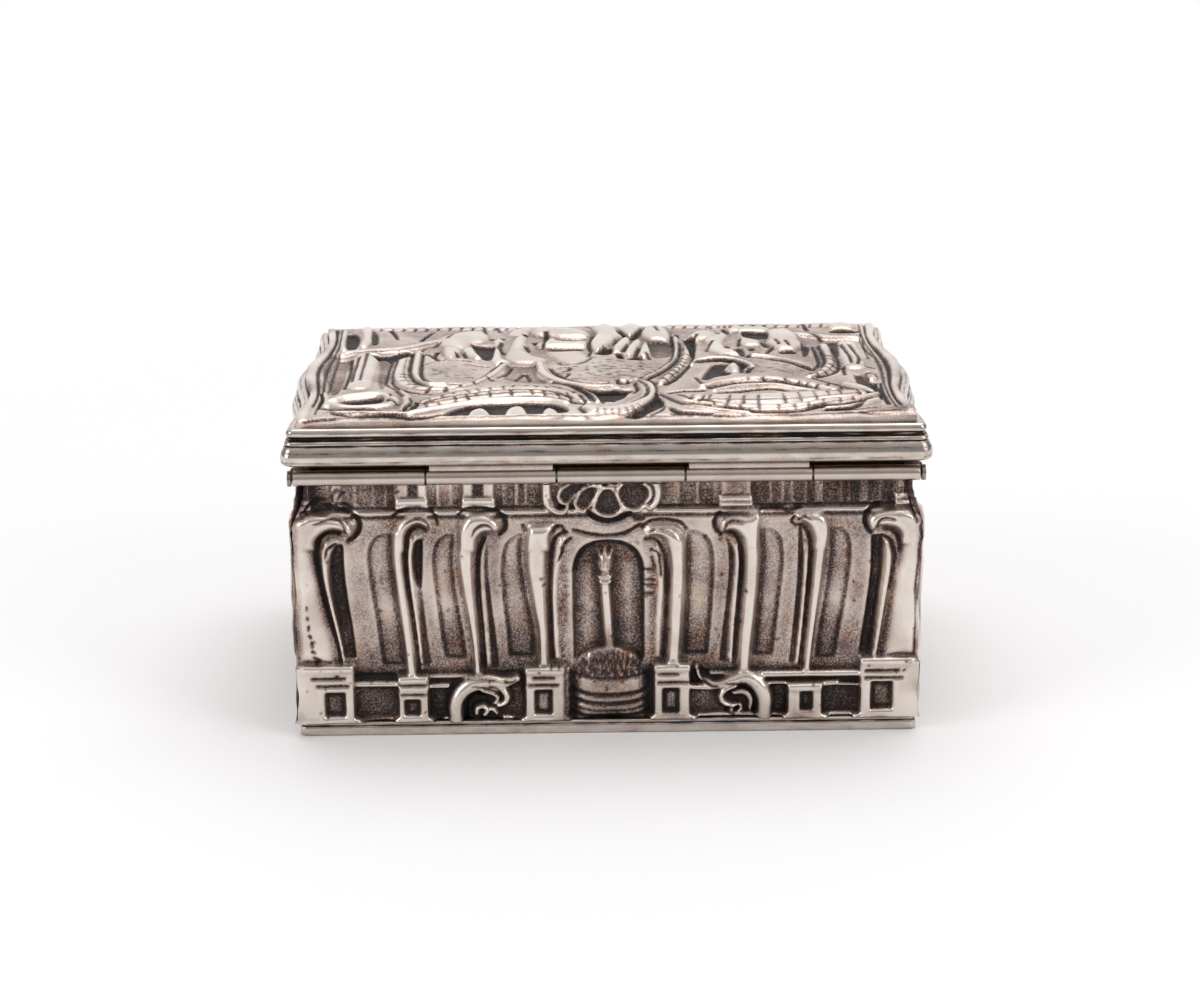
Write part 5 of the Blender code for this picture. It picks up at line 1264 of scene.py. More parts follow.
    ((182, 45, 200, 38, 220, 24, 240, 2, 258, -26), (7, 5, 5, 6), 4.5),
    ((182, 46, 186, 58, 196, 68), (6, 3, 4), 4), ((208, 66, 216, 92), (4, 6), 3.5),
    ((305, 100, 309, 40, 309, 0), (5, 5, 4), 4), ((315, 100, 320, 30, 315, -8), (5, 5, 4), 4),
    ((304, -7, 318, -8, 334, -20), (3, 4, 2), 3), ((178, 140, 174, 104), (4, 3), 3.5),
    ((248, 173, 266, 164, 278, 148, 283, 126), (6, 5, 4, 2), 4), ((204, 116, 210, 98), (5, 5), 4),
    ((222, 120, 226, 96), (3, 3), 3.5), ((234, 110, 238, 88), (3, 3), 3.5),
    ((124, 156, 116, 124, 116, 80), (5, 3, 2), 3.5), ((142, 126, 132, 80), (5, 2), 3.5),
    ((159, 200, 163, 178), (5, 9), 4), ((151, 166, 151, 158), (5, 4), 4), ((145, 240, 144, 204), (4, 2), 3),
    ((166, 240, 162, 210), (4, 2), 3), ((266, 224, 270, 190), (7, 5), 3),
    ((280, -225, 310, -232, 346, -241), (2, 4.5, 6), 4), ((78, -226, 140, -229), (6, 3), 4),
))

# Flecks and pits on the medallions: middle, half width, half depth, how many
LID_FLECKS = (
    (0.6, -2.0, 6.6, 7.6, 110), (-18.2, -1.6, 3.4, 4.0, 22),
    (21.6, -1.4, 3.6, 3.0, 16), (0.8, -2.4, 3.2, 3.6, 60),
)

# Rib ticks: upper end along, its height; lower end along, its height
LID_TICKS = tenths((
    (-9, -212, -11, -226), (-1, -215, -2, -229), (7, -217, 7, -231), (15, -216, 16, -230),
    (23, -211, 26, -226), (30, -204, 35, -218), (37, -194, 44, -207), (-196, -132, -192, -154),
    (-182, -123, -180, -138), (-179, -146, -176, -166), (-168, -113, -162, -130), (-166, -138, -162, -156),
    (-156, -106, -150, -126), (-155, -130, -152, -144), (-139, -100, -137, -120), (-139, -126, -136, -144),
    (-123, -94, -121, -114), (-112, -90, -110, -108), (-113, -120, -111, -138), (-96, -89, -94, -104),
    (-83, -94, -82, -110), (-89, -118, -86, -136), (-70, -96, -69, -112), (-74, -124, -71, -142),
    (-59, -130, -54, -154), (-55, -102, -53, -116), (-46, -136, -40, -166), (-36, -122, -38, -140),
    (-209, -156, -204, -174), (-213, -178, -208, -192), (-198, -170, -192, -182), (126, -146, 121, -174),
    (149, -152, 144, -182), (165, -156, 162, -186), (182, -154, 180, -186), (211, -150, 213, -186),
    (230, -142, 232, -184), (248, -138, 251, -172), (265, -134, 266, -154), (280, -130, 281, -150),
    (299, -128, 307, -156), (142, -189, 141, -208), (158, -194, 157, -214), (180, -194, 179, -216),
    (203, -194, 202, -216), (220, -194, 222, -214), (238, -192, 238, -208), (256, -176, 257, -196),
    (276, -168, 278, -184), (291, -162, 293, -178), (128, -180, 127, -198),
))


# Shares of the heights and depths above that the thin plate takes, and the height that its bands start
# from
BAND_SHARE = 0.5
PETAL_SHARE = 0.7
LINE_SHARE = 0.75
BAND_BASE = LID_FACE - 0.1

# Fine lines on bands that are broader than this, at these shares of the width; and one turn of the rope
FINE_LINE_BAND = 1.6
FINE_LINE_SHARES = (-0.27, 0.27)
ROPE_TURN = 1.5


def moved_aside(points, widths, share):
    """The path moved sideways by that share of its width there."""
    path = smooth_curve(in_pairs(points))
    ahead = np.gradient(path, axis=0)
    ahead /= np.hypot(*ahead.T)[:, None] + 1e-9
    places = np.linspace(0, 1, len(path))
    width = np.interp(places, np.linspace(0, 1, len(widths)), widths)
    return path + (share * width)[:, None] * ahead[:, ::-1] * (-1, 1)


def draw_lid():
    """The whole relief of the lid."""
    relief = Relief(-LID_EDGE, LID_EDGE, -LID_DEPTH / 2, LID_DEPTH / 2, LID_PITCH)
    relief.height += LID_FACE
    relief.dark += LID_FILM
    for points, widths, height in LID_DOMES:
        relief.swelling(points, widths, height)
    for points, widths, height in LID_BANDS:
        level = LID_FACE + BAND_SHARE * (height - LID_FACE)
        relief.band(points, widths, level, swell=broad, base=BAND_BASE)
    for points, widths, height in LID_BANDS:
        if max(widths) > FINE_LINE_BAND and len(in_pairs(points)) > 3:
            for share in FINE_LINE_SHARES:
                relief.line(moved_aside(points, widths, share), (0.1, 0.2, 0.2, 0.1), 0.12, 0.7, steps=1)
    for left, right in LID_ROPES:
        relief.band(((left, 22.0), (right, 22.0)), (2.6, 2.6), LID_FACE + 0.18, swell=broad, base=BAND_BASE)
        for x in np.arange(left, right, ROPE_TURN):
            relief.line(((x, 20.9), (x + 0.2, 22.0), (x + 0.2, 23.2)), (0.2, 0.35, 0.2), 0.2, 0.8)
    for outline, height in LID_PETALS:
        relief.petal(outline, LID_FACE + PETAL_SHARE * (height - LID_FACE), LID_FACE - 0.15)
    for outline, level, dark in LID_OPENINGS:
        relief.field(outline, level, CELL_SLOPE, dark)
    for outline in LID_ARCHES:
        relief.field(outline, LID_FACE, SLOPE)
    draws = np.random.default_rng(FLECK_SEED)
    for x, y, reach_x, reach_y, count in LID_FLECKS:
        for turn, far in draws.uniform((0, 0), (2 * math.pi, 1), (count, 2)):
            from_x = x + reach_x * math.sqrt(far) * math.cos(turn)
            from_y = y + reach_y * math.sqrt(far) * math.sin(turn)
            run = draws.uniform(0.15, 0.6)
            size = draws.uniform(0.12, 0.3)
            fleck = ((from_x, from_y), (from_x + run, from_y - 0.5 * run))
            relief.line(fleck, (size, 0.7 * size), 0.3 * size, 0.7)
    for points, widths, depth in LID_LINES:
        relief.line(points, widths, LINE_SHARE * depth)
    for x, y, end_x, end_y in LID_TICKS:
        relief.line(((x, y), (end_x, end_y)), (0.15, 0.26, 0.15), 0.18, 0.85)
    inward = (LID_DEPTH / 2 - np.abs(relief.up))[:, None]
    relief.height += (LID_LIP - relief.height) * rise(1 - inward / 1.5)
    relief.dark *= rise(inward / 0.8)
    finish_relief(relief, LID_SEED, LID_WORN)
    relief.dark = BARE_FILM + (relief.dark - BARE_FILM) * (0.25 + 0.75 * rise(inward / 2.2))
    return relief


def wave(share):
    """How far the lid's sides swing out, at a share of the way from their middle to their ends."""
    near = SWING * np.cos(math.pi * share / SWING_TURN)
    far = -SWING * (1 + np.cos(math.pi * (share - SWING_TURN) / (1 - SWING_TURN))) / 2
    return np.where(share < SWING_TURN, near, np.where(share < 1, far, 0.0))


def add_lid_plate(relief, material):
    """The chased top, with its serpentine sides."""
    columns = len(relief.along)
    mesh = sheet_mesh("lid_plate", columns, len(relief.up))
    column, row, back = grid_places(mesh, columns, len(relief.up))
    along = relief.along[column]
    y = relief.up[row]
    sides = LID_HALF + wave(np.abs(y) / (LID_DEPTH / 2))
    beyond = np.maximum(np.abs(along) - LID_STEADY, 0) * (sides - LID_STEADY) / (LID_EDGE - LID_STEADY)
    x = np.sign(along) * (np.minimum(np.abs(along), LID_STEADY) + beyond)
    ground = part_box("lid_plate")[0].z / MM + LID_GROUND_RISE
    z = np.where(back, ground - LID_GROUND_RISE, ground + relief.height[row, column])
    patina_and_shade = relief.dark[row, column]
    places = np.stack([x, y, z], axis=1)
    materials = (material, gold_wash)
    return finish_mesh("lid_plate", mesh, places, patina_and_shade, "lid", materials, ["lid_plate"])


def rail_path(reach, half_length, depth, stops):
    """A line along a rail at that reach: from mitre to mitre round soft corners, or up to a square stop."""
    bend = CORNER_BEND * max(reach, 0.0) + 0.02
    straight = half_length + reach - bend
    turns = np.linspace(0, math.pi / 4, CORNER_STEPS + 1)[1:]
    corner_x = straight + bend * np.sin(turns)
    corner_y = -(depth + reach - bend) - bend * np.cos(turns)
    corner = np.stack([corner_x, corner_y], axis=1)
    count = RAIL_STEPS + CORNER_STEPS * sum(stop is not None for stop in stops)
    left, right = (end * straight if stop is None else stop for end, stop in zip((-1, 1), stops))
    x = np.linspace(left, right, count)
    path = np.stack([x, np.full(count, -(depth + reach))], axis=1)
    if stops[1] is None:
        path = np.vstack([path, corner])
    if stops[0] is None:
        path = np.vstack([corner[::-1] * (-1, 1), path])
    return path


def add_rail(
    name, angle, profile, half_length, depth, foot, body, material, seed, swings=False, stops=(None, None),
):
    """A moulded strip along one side. The profile's rows are reach, height above the foot, and patina."""
    profile = np.array(profile)
    around = len(profile)
    stations = RAIL_STEPS + 2 * CORNER_STEPS
    bm = bmesh.new()
    bmesh.ops.create_cone(bm, cap_ends=True, segments=around, radius1=1, radius2=1, depth=2)
    bm.verts.ensure_lookup_table()
    start = math.atan2(bm.verts[0].co.y, bm.verts[0].co.x)
    lengthwise = [edge for edge in bm.edges if abs(edge.verts[0].co.z - edge.verts[1].co.z) > 1]
    bmesh.ops.subdivide_edges(bm, edges=lengthwise, cuts=stations - 2)
    for face in bm.faces:
        face.smooth = len(face.verts) == 4
        if not face.smooth:
            for edge in face.edges:
                edge.smooth = False
    mesh = finished(name, bm)
    spots = points_of(mesh)
    station = np.rint((spots[:, 2] + 1) / 2 * (stations - 1)).astype(int)
    turn = np.arctan2(spots[:, 1], spots[:, 0]) - start
    point = np.rint(turn / (2 * math.pi) * around).astype(int) % around
    paths = np.stack([rail_path(reach, half_length, depth, stops) for reach in profile[:, 0]])
    x, y = paths[point, station].T
    outside = profile[point, 0] > 0
    if swings:
        y -= np.where(outside, wave(np.abs(x) / half_length), 0)
    dents = np.random.default_rng(seed).standard_normal((2, stations))
    dents = soften(dents, DENT_RADIUS) * DENT_DEPTH
    wander = np.interp(np.arange(stations), (0, 6, stations - 7, stations - 1), (0, 1, 1, 0))
    y -= np.where(outside, dents[0, station] * wander[station], 0)
    z = foot + profile[point, 1]
    z += np.where(outside & (profile[point, 1] > 0.2), 0.5 * dents[1, station] * wander[station], 0)
    places = np.stack([x, y, z], axis=1) @ np.array(Matrix.Rotation(angle, 3, "Z")).T
    wear = soften(np.random.default_rng(seed + 50).standard_normal((stations, around)), STREAK_RADIUS)
    wear *= rise(profile[:, 1] / 0.4) * (profile[:, 0] > 0)
    patina_and_shade = profile[point, 2] * (1 + 1.1 * wear[station, point])
    return finish_mesh(name, mesh, places, np.clip(patina_and_shade, 0, 1), body, [material], [name])


def profile_of(points, inner, steps=3):
    """A rail's closed profile: its outer face drawn smoothly through the points, then its flat back."""
    outer = np.array(points, float)
    curve = smooth_curve(outer, steps)
    return np.vstack([curve, np.array(inner, float)])


# Rails' profiles, in millimetres: reach out from the wall's ground, height, and how dark patina lies
# there
LID_RIM_FACE = tenths((
    (12, 0, 5), (15.2, 1.2, 3), (17.4, 3.4, 2), (18.3, 6, 3.5), (18.5, 7.2, 2), (18.6, 11, 1.2),
    (18, 14.5, 1.5), (17.1, 17, 4.5), (16.8, 17.8, 3), (15.6, 20.5, 1.5), (14.2, 22.6, 3), (12.7, 23.8, 8),
    (12.7, 24.8, 7.5), (13.6, 26, 2.5), (13.4, 27.6, 1.5), (12.4, 29, 3.5), (10, 29.8, 7.5),
    (7.6, 30.6, 8.5), (7.2, 32, 8.5), (7.8, 33.2, 8), (9, 34.2, 6), (10.4, 35.2, 3), (11.2, 37, 1.5),
    (11.2, 38.4, 3), (11, 39.8, 1.5), (9.9, 42, 1.2), (8.2, 43.4, 1.5), (7, 43.7, 4), (5.6, 43.9, 2),
    (3, 44, 2.5), (0.6, 43.6, 4),
))
LID_RIM_BACK = ((0.05, 3.8, 0.9), (-1.1, 3.8, 0.25), (-1.1, 0.0, 0.2), (0.9, 0.0, 0.15))
FOOT_FACE = tenths((
    (9.3, 0, 4), (10.4, 1, 3), (11, 3, 2), (11, 6.5, 1.5), (10.9, 9.5, 2), (10.3, 11, 3.5),
    (9.3, 11.9, 7.5), (9, 12.6, 7.5), (9.6, 13.4, 4), (9.9, 14.3, 2), (9.1, 15.8, 2), (7.2, 16.7, 4),
    (5, 17, 8),
))
FOOT_BACK = ((-1.0, 1.7, 0.1), (-1.0, 0.0, 0.1))
BODY_RIM_FACE = tenths((
    (5.5, 0, 9), (8.6, 1, 5), (11.4, 2.8, 2.5), (13.3, 5.4, 1.5), (14, 8.7, 1.2), (13.7, 12, 1.2),
    (12.5, 15, 1.5), (10.5, 17.5, 2), (8, 19, 2), (5.5, 19.4, 2),
))
BODY_RIM_BACK = ((-1.0, 1.94, 0.2), (-1.0, 0.0, 0.5))


def spun(bm, outline, centre, steps):
    """Turns a closed outline, given as (distance along the axis, radius), about the box's length."""
    corners = [bm.verts.new((along, 0, radius)) for along, radius in outline]
    edges = [bm.edges.new(pair) for pair in zip(corners, corners[1:] + corners[:1])]
    bmesh.ops.spin(
        bm, geom=corners + edges, cent=(0, 0, 0), axis=(1, 0, 0), dvec=(0, 0, 0),
        angle=2 * math.pi, steps=steps, use_merge=True, use_duplicate=False,
    )
    bmesh.ops.translate(bm, verts=bm.verts, vec=centre)


def add_tube(name, body, material, bore, rounding, leaf=None, leaf_patina_and_shade=0.0):
    """A knuckle or a plug of the hinge, with worn ends, and the leaf that holds it."""
    low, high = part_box(name)
    start, end = low.x / MM, high.x / MM
    outer = TUBE_RADIUS
    cut = 0.3 * rounding
    outline = [(start, bore), (start, outer - rounding)]
    outline += [(start + cut, outer - cut), (start + rounding, outer)]
    outline += [(start + (end - start) * share, outer) for share in np.linspace(0.08, 0.92, 9)]
    outline += [(end - rounding, outer), (end - cut, outer - cut), (end, outer - rounding), (end, bore)]
    bm = bmesh.new()
    spun(bm, outline, (0, hinge_axis.y, hinge_axis.z), TUBE_STEPS)
    if leaf:
        size = np.array(leaf[1]) - leaf[0]
        middle = (np.array(leaf[0]) + size / 2).tolist()
        stretch = Matrix.Translation(middle) @ Matrix.Diagonal((*size, 1))
        made = bmesh.ops.create_cube(bm, size=1, matrix=stretch)["verts"]
        edges = {edge for vert in made for edge in vert.link_edges}
        bmesh.ops.bevel(
            bm, geom=list(edges), offset=LEAF_ROUNDING, segments=2, profile=0.5,
            affect="EDGES", material=-1,
        )
    for face in bm.faces:
        face.smooth = True
    for edge in bm.edges:
        edge.smooth = edge.calc_face_angle(0) < math.radians(40)
    mesh = finished(name, bm)
    spots = points_of(mesh)
    reach = np.hypot(spots[:, 1] - hinge_axis.y, spots[:, 2] - hinge_axis.z)
    ends = np.minimum(spots[:, 0] - start, end - spots[:, 0])
    patina_and_shade = np.where(reach > outer + 0.02, leaf_patina_and_shade, TUBE_FILM)
    patina_and_shade = patina_and_shade + 0.5 * rise(1 - ends / 0.25) * (reach < outer - 0.02)
    return finish_mesh(name, mesh, spots, np.clip(patina_and_shade, 0, 1), body, [material], [name])


def linear(shade):
    """The linear colour of an sRGB hex shade."""
    parts = [int(shade[k:k + 2], 16) / 255 for k in (1, 3, 5)]
    return (*(part / 12.92 if part <= 0.04045 else ((part + 0.055) / 1.055) ** 2.4 for part in parts), 1.0)


def add_node(tree, kind, settings=None, inputs=None, stops=()):
    """Adds a node. An input's key is its name or number. It is a value, a node or a node's output."""
    node = tree.nodes.new("ShaderNode" + kind)
    for name, value in (settings or {}).items():
        setattr(node, name, value)
    for key, value in (inputs or {}).items():
        if isinstance(value, bpy.types.Node):
            value = next(output for output in value.outputs if output.enabled)
        if isinstance(value, bpy.types.NodeSocket):
            tree.links.new(value, node.inputs[key])
        else:
            node.inputs[key].default_value = value
    for number, (place, shade) in enumerate(stops):
        marks = node.color_ramp.elements
        mark = marks[number] if number < len(marks) else marks.new(place)
        mark.position = place
        mark.color = linear(shade)
    return node


def new_material(name):
    """A material, its node tree, its shader, and the place on the object."""
    material = bpy.data.materials.new(name)
    material.use_nodes = True
    tree = material.node_tree
    return material, tree, tree.nodes["Principled BSDF"], add_node(tree, "TexCoord").outputs["Object"]


def silver_with_patina_and_shade(name, stops, polish, speckle, blotch):
    """Silver with patina and painted shade where the piece's attribute says so, broken up by grains and
    clouds.
    """
    material, tree, shader, place = new_material(name)
    patina_and_shade = add_node(tree, "Attribute", {"attribute_name": "patina_and_shade"}).outputs["Fac"]
    matted = add_node(tree, "MapRange", None, {
        "Value": patina_and_shade, "From Min": 0.15, "From Max": 0.45, "To Min": 0.08, "To Max": 1.0})
    grains = add_node(tree, "TexNoise", None, {
        "Vector": place, "Scale": 1 / GRAIN, "Detail": 3.0, "Roughness": 0.65})
    grains = add_node(tree, "MapRange", {"clamp": False}, {
        "Value": grains, "To Min": -speckle / 2, "To Max": speckle / 2})
    grains = add_node(tree, "Math", {"operation": "MULTIPLY"}, {0: grains, 1: matted})
    clouds = add_node(tree, "TexNoise", None, {
        "Vector": place, "Scale": 1 / CLOUD, "Detail": 3.0, "Roughness": 0.6})
    clouds = add_node(tree, "MapRange", {"clamp": False}, {
        "Value": clouds, "To Min": -blotch / 2, "To Max": blotch / 2})
    worn = add_node(tree, "Math", {"operation": "ADD"}, {0: patina_and_shade, 1: grains})
    worn = add_node(tree, "Math", {"operation": "ADD", "use_clamp": True}, {0: worn, 1: clouds})
    colour = add_node(tree, "ValToRGB", None, {"Fac": worn}, stops)
    for size, tint, most in FILM_TINTS:
        film = add_node(tree, "TexNoise", None, {
            "Vector": place, "Scale": 1 / size, "Detail": 3.0, "Roughness": 0.6})
        film = add_node(tree, "MapRange", None, {
            "Value": film, "From Min": 0.48, "From Max": 0.66, "To Max": most})
        film = add_node(tree, "Math", {"operation": "MULTIPLY"}, {0: film, 1: matted})
        colour = add_node(tree, "Mix", {"data_type": "RGBA", "blend_type": "MULTIPLY"}, {
            "Factor": film, "A": colour, "B": linear(tint)})
    tree.links.new(colour.outputs["Result"], shader.inputs["Base Color"])
    metal = add_node(tree, "MapRange", None, {
        "Value": worn, "From Min": 0.35, "From Max": 0.95, "To Min": 1.0, "To Max": 0.4})
    tree.links.new(metal.outputs["Result"], shader.inputs["Metallic"])
    rough = add_node(tree, "MapRange", None, {
        "Value": worn, "From Min": 0.1, "From Max": 0.8, "To Min": polish[0], "To Max": polish[1]})
    tree.links.new(rough.outputs["Result"], shader.inputs["Roughness"])
    pits = add_node(tree, "TexNoise", None, {
        "Vector": place, "Scale": 1 / GRAIN, "Detail": 3.0, "Roughness": 0.7})
    pits = add_node(tree, "Math", {"operation": "MULTIPLY"}, {0: pits, 1: matted})
    bump = add_node(tree, "Bump", None, {"Height": pits, "Distance": PIT_DEPTH})
    tree.links.new(bump.outputs["Normal"], shader.inputs["Normal"])
    return material


def plain_metal(name, size, stops, metallic, finer, polish, beneath=None):
    """Metal in soft clouds of two shades and of polish, with other shades on faces that look down."""
    material, tree, shader, place = new_material(name)
    clouds = add_node(tree, "TexNoise", None, {
        "Vector": place, "Scale": 1 / size, "Detail": 4.0, "Roughness": 0.6})
    colour = add_node(tree, "ValToRGB", None, {"Fac": clouds}, stops).outputs["Color"]
    if beneath:
        normal = add_node(tree, "TexCoord").outputs["Normal"]
        upward = add_node(tree, "SeparateXYZ", None, {0: normal}).outputs["Z"]
        above = add_node(tree, "Math", {"operation": "GREATER_THAN"}, {0: upward, 1: -0.5})
        other = add_node(tree, "ValToRGB", None, {"Fac": clouds}, beneath)
        colour = add_node(tree, "Mix", {"data_type": "RGBA"}, {"Factor": above, "A": other, "B": colour})
        colour = colour.outputs["Result"]
    tree.links.new(colour, shader.inputs["Base Color"])
    shader.inputs["Metallic"].default_value = metallic
    rubbing = add_node(tree, "TexNoise", None, {"Vector": place, "Scale": 1 / finer, "Detail": 3.0})
    rubbing = add_node(tree, "MapRange", None, {
        "Value": rubbing, "From Min": 0.3, "From Max": 0.7, "To Min": polish[0], "To Max": polish[1]})
    tree.links.new(rubbing.outputs["Result"], shader.inputs["Roughness"])
    return material


# Patterns in the silver: the dots of a matting punch, the clouds that handling rubs, and how deep the
# dots are.
# Then the straw and the violet of a thin sulphide film: size, tint, most of it
GRAIN = 0.2 * MM
CLOUD = 3.2 * MM
PIT_DEPTH = 0.03 * MM
FILM_TINTS = ((2.6 * MM, "#F0C49A", 0.6), (4.1 * MM, "#A9A3C6", 0.45))

# Chased silver: bright where fingers touch it, straw to violet on the slopes, black sulphide in the cuts,
# whose darker shades also carry painted shade in hollows and valleys. The eye gets the drawing from the
# black, and the wear from the warm pale crests.
CHASED_STOPS = (
    (0.0, "#E4DAD1"), (0.2, "#CDBFB5"), (0.42, "#96857E"),
    (0.6, "#5E4F4B"), (0.78, "#2B2321"), (1.0, "#141010"),
)
chased_silver = silver_with_patina_and_shade("chased_silver_cast_and_worn", CHASED_STOPS, (0.27, 0.62), 1.3, 0.3)

# Drawn silver strip: smoother than the chasing, so that it carries long clean reflections.
DRAWN_STOPS = ((0.0, "#DDD3CA"), (0.3, "#BCAFA6"), (0.55, "#766863"), (0.78, "#2B2321"), (1.0, "#141010"))
drawn_silver = silver_with_patina_and_shade("drawn_silver_strip", DRAWN_STOPS, (0.2, 0.5), 0.8, 0.3)

# Gold wash inside: a warm satin skin, rubbed paler in soft clouds, so that the inside reads as lined.
GOLD_STOPS = ((0.2, "#C29C57"), (0.8, "#D6B570"))
gold_wash = plain_metal("gold_wash_satin", 5.0 * MM, GOLD_STOPS, 1.0, 0.8 * MM, (0.3, 0.42))

# Floor sheet: the same gold wash above, and plain worn silver on the side that the box stands on.
SHEET_STOPS = ((0.3, "#A99C92"), (0.7, "#CFC6BE"))
floor_sheet = plain_metal(
    "silver_sheet_gold_washed_above", 5.0 * MM, GOLD_STOPS, 1.0, 0.8 * MM, (0.3, 0.45), SHEET_STOPS,
)

# Silver sheet behind the tubes: near black, sulphide and painted shade of the hinge's gap, so that the gap
# reads as a line.
BEARER_STOPS = ((0.3, "#1A1614"), (0.7, "#3B332F"))
bearer_in_painted_shade = plain_metal("silver_sheet_dark_with_sulphide_and_painted_shade", 1.0 * MM, BEARER_STOPS, 0.6, 0.5 * MM, (0.35, 0.5))

# Wire in the hinge: a greyer metal than the silver round it, with a soft drawn shine.
WIRE_STOPS = ((0.3, "#8C867F"), (0.7, "#ABA59D"))
hinge_wire = plain_metal("nickel_silver_wire_drawn", 0.5 * MM, WIRE_STOPS, 1.0, 0.2 * MM, (0.3, 0.45))

# Walls
wall_low, wall_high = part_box("wall_back")
wall_span = (wall_low.z / MM, wall_high.z / MM)
long_relief = draw_wall(GROUND_LONG + WALL_OVERRUN, wall_span, False, LONG_WALL_SEED)
short_relief = draw_wall(GROUND_SHORT + WALL_OVERRUN, wall_span, True, SHORT_WALL_SEED)
for side, angle in SIDES:
    if side in ("back", "front"):
        add_wall(side, angle, long_relief, GROUND_LONG, GROUND_SHORT, chased_silver)
    else:
        add_wall(side, angle, short_relief, GROUND_SHORT, GROUND_LONG, chased_silver)

# Lid plate
add_lid_plate(draw_lid(), chased_silver)

# Rails
rim_profile = profile_of(LID_RIM_FACE, LID_RIM_BACK)
foot_profile = profile_of(FOOT_FACE, FOOT_BACK)
body_profile = profile_of(BODY_RIM_FACE, BODY_RIM_BACK)
rim_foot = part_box("lid_moulding_back")[0].z / MM
body_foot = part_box("body_rim_front")[0].z / MM
hinge_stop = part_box("body_rim_left")[0].y / MM
for seed, (side, angle) in enumerate(SIDES):
    long_side = side in ("back", "front")
    spans = (LID_HALF, LID_DEPTH / 2) if long_side else (LID_DEPTH / 2, LID_HALF)
    walls = (GROUND_LONG, GROUND_SHORT) if long_side else (GROUND_SHORT, GROUND_LONG)
    add_rail("lid_moulding_" + side, angle, rim_profile, *spans, rim_foot, "lid", drawn_silver, seed,
             not long_side)
    add_rail("foot_rim_" + side, angle, foot_profile, *walls, 0.0, "box", drawn_silver, seed + 10)
    if side != "back":
        stops = {"right": (hinge_stop, None), "left": (None, -hinge_stop), "front": (None, None)}[side]
        add_rail("body_rim_" + side, angle, body_profile, *walls, body_foot, "box", drawn_silver, seed + 20,
                 not long_side, stops)

# Hinge
hinge_axis = (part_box("hinge_pin")[0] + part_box("hinge_pin")[1]) / 2 / MM
for name in ("body_knuckle_left", "body_knuckle_centre", "body_knuckle_right"):
    low, high = (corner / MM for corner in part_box(name))
    leaf = (
        (low.x + LEAF_SHORT, hinge_axis.y + LEAF_START, hinge_axis.z - 0.7),
        (high.x - LEAF_SHORT, high.y, hinge_axis.z + LEAF_HALF),
    )
    # The body's leaves stand in the hinge's gap: near black, patina and painted shade of the gap.
    add_tube(name, "box", drawn_silver, BORE_RADIUS, TUBE_ROUNDING, leaf, leaf_patina_and_shade=0.9)
for name in ("lid_knuckle_left", "lid_knuckle_right"):
    low, high = (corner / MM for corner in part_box(name))
    leaf = (
        (low.x + LEAF_SHORT, hinge_axis.y - LEAF_HALF, hinge_axis.z + LEAF_START),
        (high.x - LEAF_SHORT, hinge_axis.y + LEAF_HALF, high.z),
    )
    add_tube(name, "lid", drawn_silver, BORE_RADIUS, TUBE_ROUNDING, leaf, leaf_patina_and_shade=0.3)
for name in ("hinge_cap_left", "hinge_cap_right"):
    add_tube(name, "box", drawn_silver, PLUG_BORE, PLUG_ROUNDING)

# Thumbpiece
low, high = (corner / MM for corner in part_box("thumbpiece"))
middle, size = (low + high) / 2, high - low
bm = bmesh.new()
bmesh.ops.create_cube(bm, size=1, matrix=Matrix.Translation(middle) @ Matrix.Diagonal((*size, 1)))
bmesh.ops.bevel(
    bm, geom=list(bm.edges), offset=THUMB_ROUNDING, segments=4, profile=0.5, affect="EDGES", material=-1,
)
for face in bm.faces:
    face.smooth = True
mesh = finished("thumbpiece", bm)
patina_and_shade = np.full(len(mesh.vertices), THUMB_FILM)
finish_mesh("thumbpiece", mesh, points_of(mesh), patina_and_shade, "lid", [drawn_silver], ["thumbpiece"])

# Kept CAD pieces
KEPT = {
    "base_plate": floor_sheet, "lid_lining": gold_wash, "hinge_pin": hinge_wire,
    "hinge_bearer_body": bearer_in_painted_shade, "hinge_bearer_lid": bearer_in_painted_shade,
    "bezel_back": gold_wash, "bezel_front": gold_wash, "bezel_left": gold_wash, "bezel_right": gold_wash,
}
for name, material in KEPT.items():
    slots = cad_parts[name].data.materials
    slots.clear()
    slots.append(material)

# Floor: a pale sheet that shows as white to the eye and in the silver, and keeps the box's shadow
bm = bmesh.new()
bmesh.ops.create_grid(bm, x_segments=1, y_segments=1, size=6)
mesh = finished("floor", bm)
floor = bpy.data.objects.new("floor", mesh)
bpy.context.scene.collection.objects.link(floor)
paper, tree, shader, place = new_material("paper_sheet_white_matt")
shader.inputs["Base Color"].default_value = linear("#F4F3F3")
shader.inputs["Roughness"].default_value = 0.9
shader.inputs["Specular IOR Level"].default_value = 0.0
distance = add_node(tree, "VectorMath", {"operation": "LENGTH"}, {0: place}).outputs["Value"]
away = add_node(tree, "MapRange", None, {
    "Value": distance, "From Min": PAPER_FADE[0], "From Max": PAPER_FADE[1]})
rays = add_node(tree, "LightPath")
seen = add_node(tree, "Math", {"operation": "MAXIMUM"}, {
    0: rays.outputs["Is Camera Ray"], 1: rays.outputs["Is Transmission Ray"]})
seen = add_node(tree, "Math", {"operation": "MAXIMUM"}, {0: seen, 1: rays.outputs["Is Glossy Ray"]})
away = add_node(tree, "Math", {"operation": "MULTIPLY"}, {0: away, 1: seen})
white = add_node(tree, "Emission", None, {"Strength": 1.0})
mix = add_node(tree, "MixShader", None, {0: away, 1: shader.outputs["BSDF"], 2: white})
tree.links.new(mix.outputs["Shader"], tree.nodes["Material Output"].inputs["Surface"])
mesh.materials.append(paper)

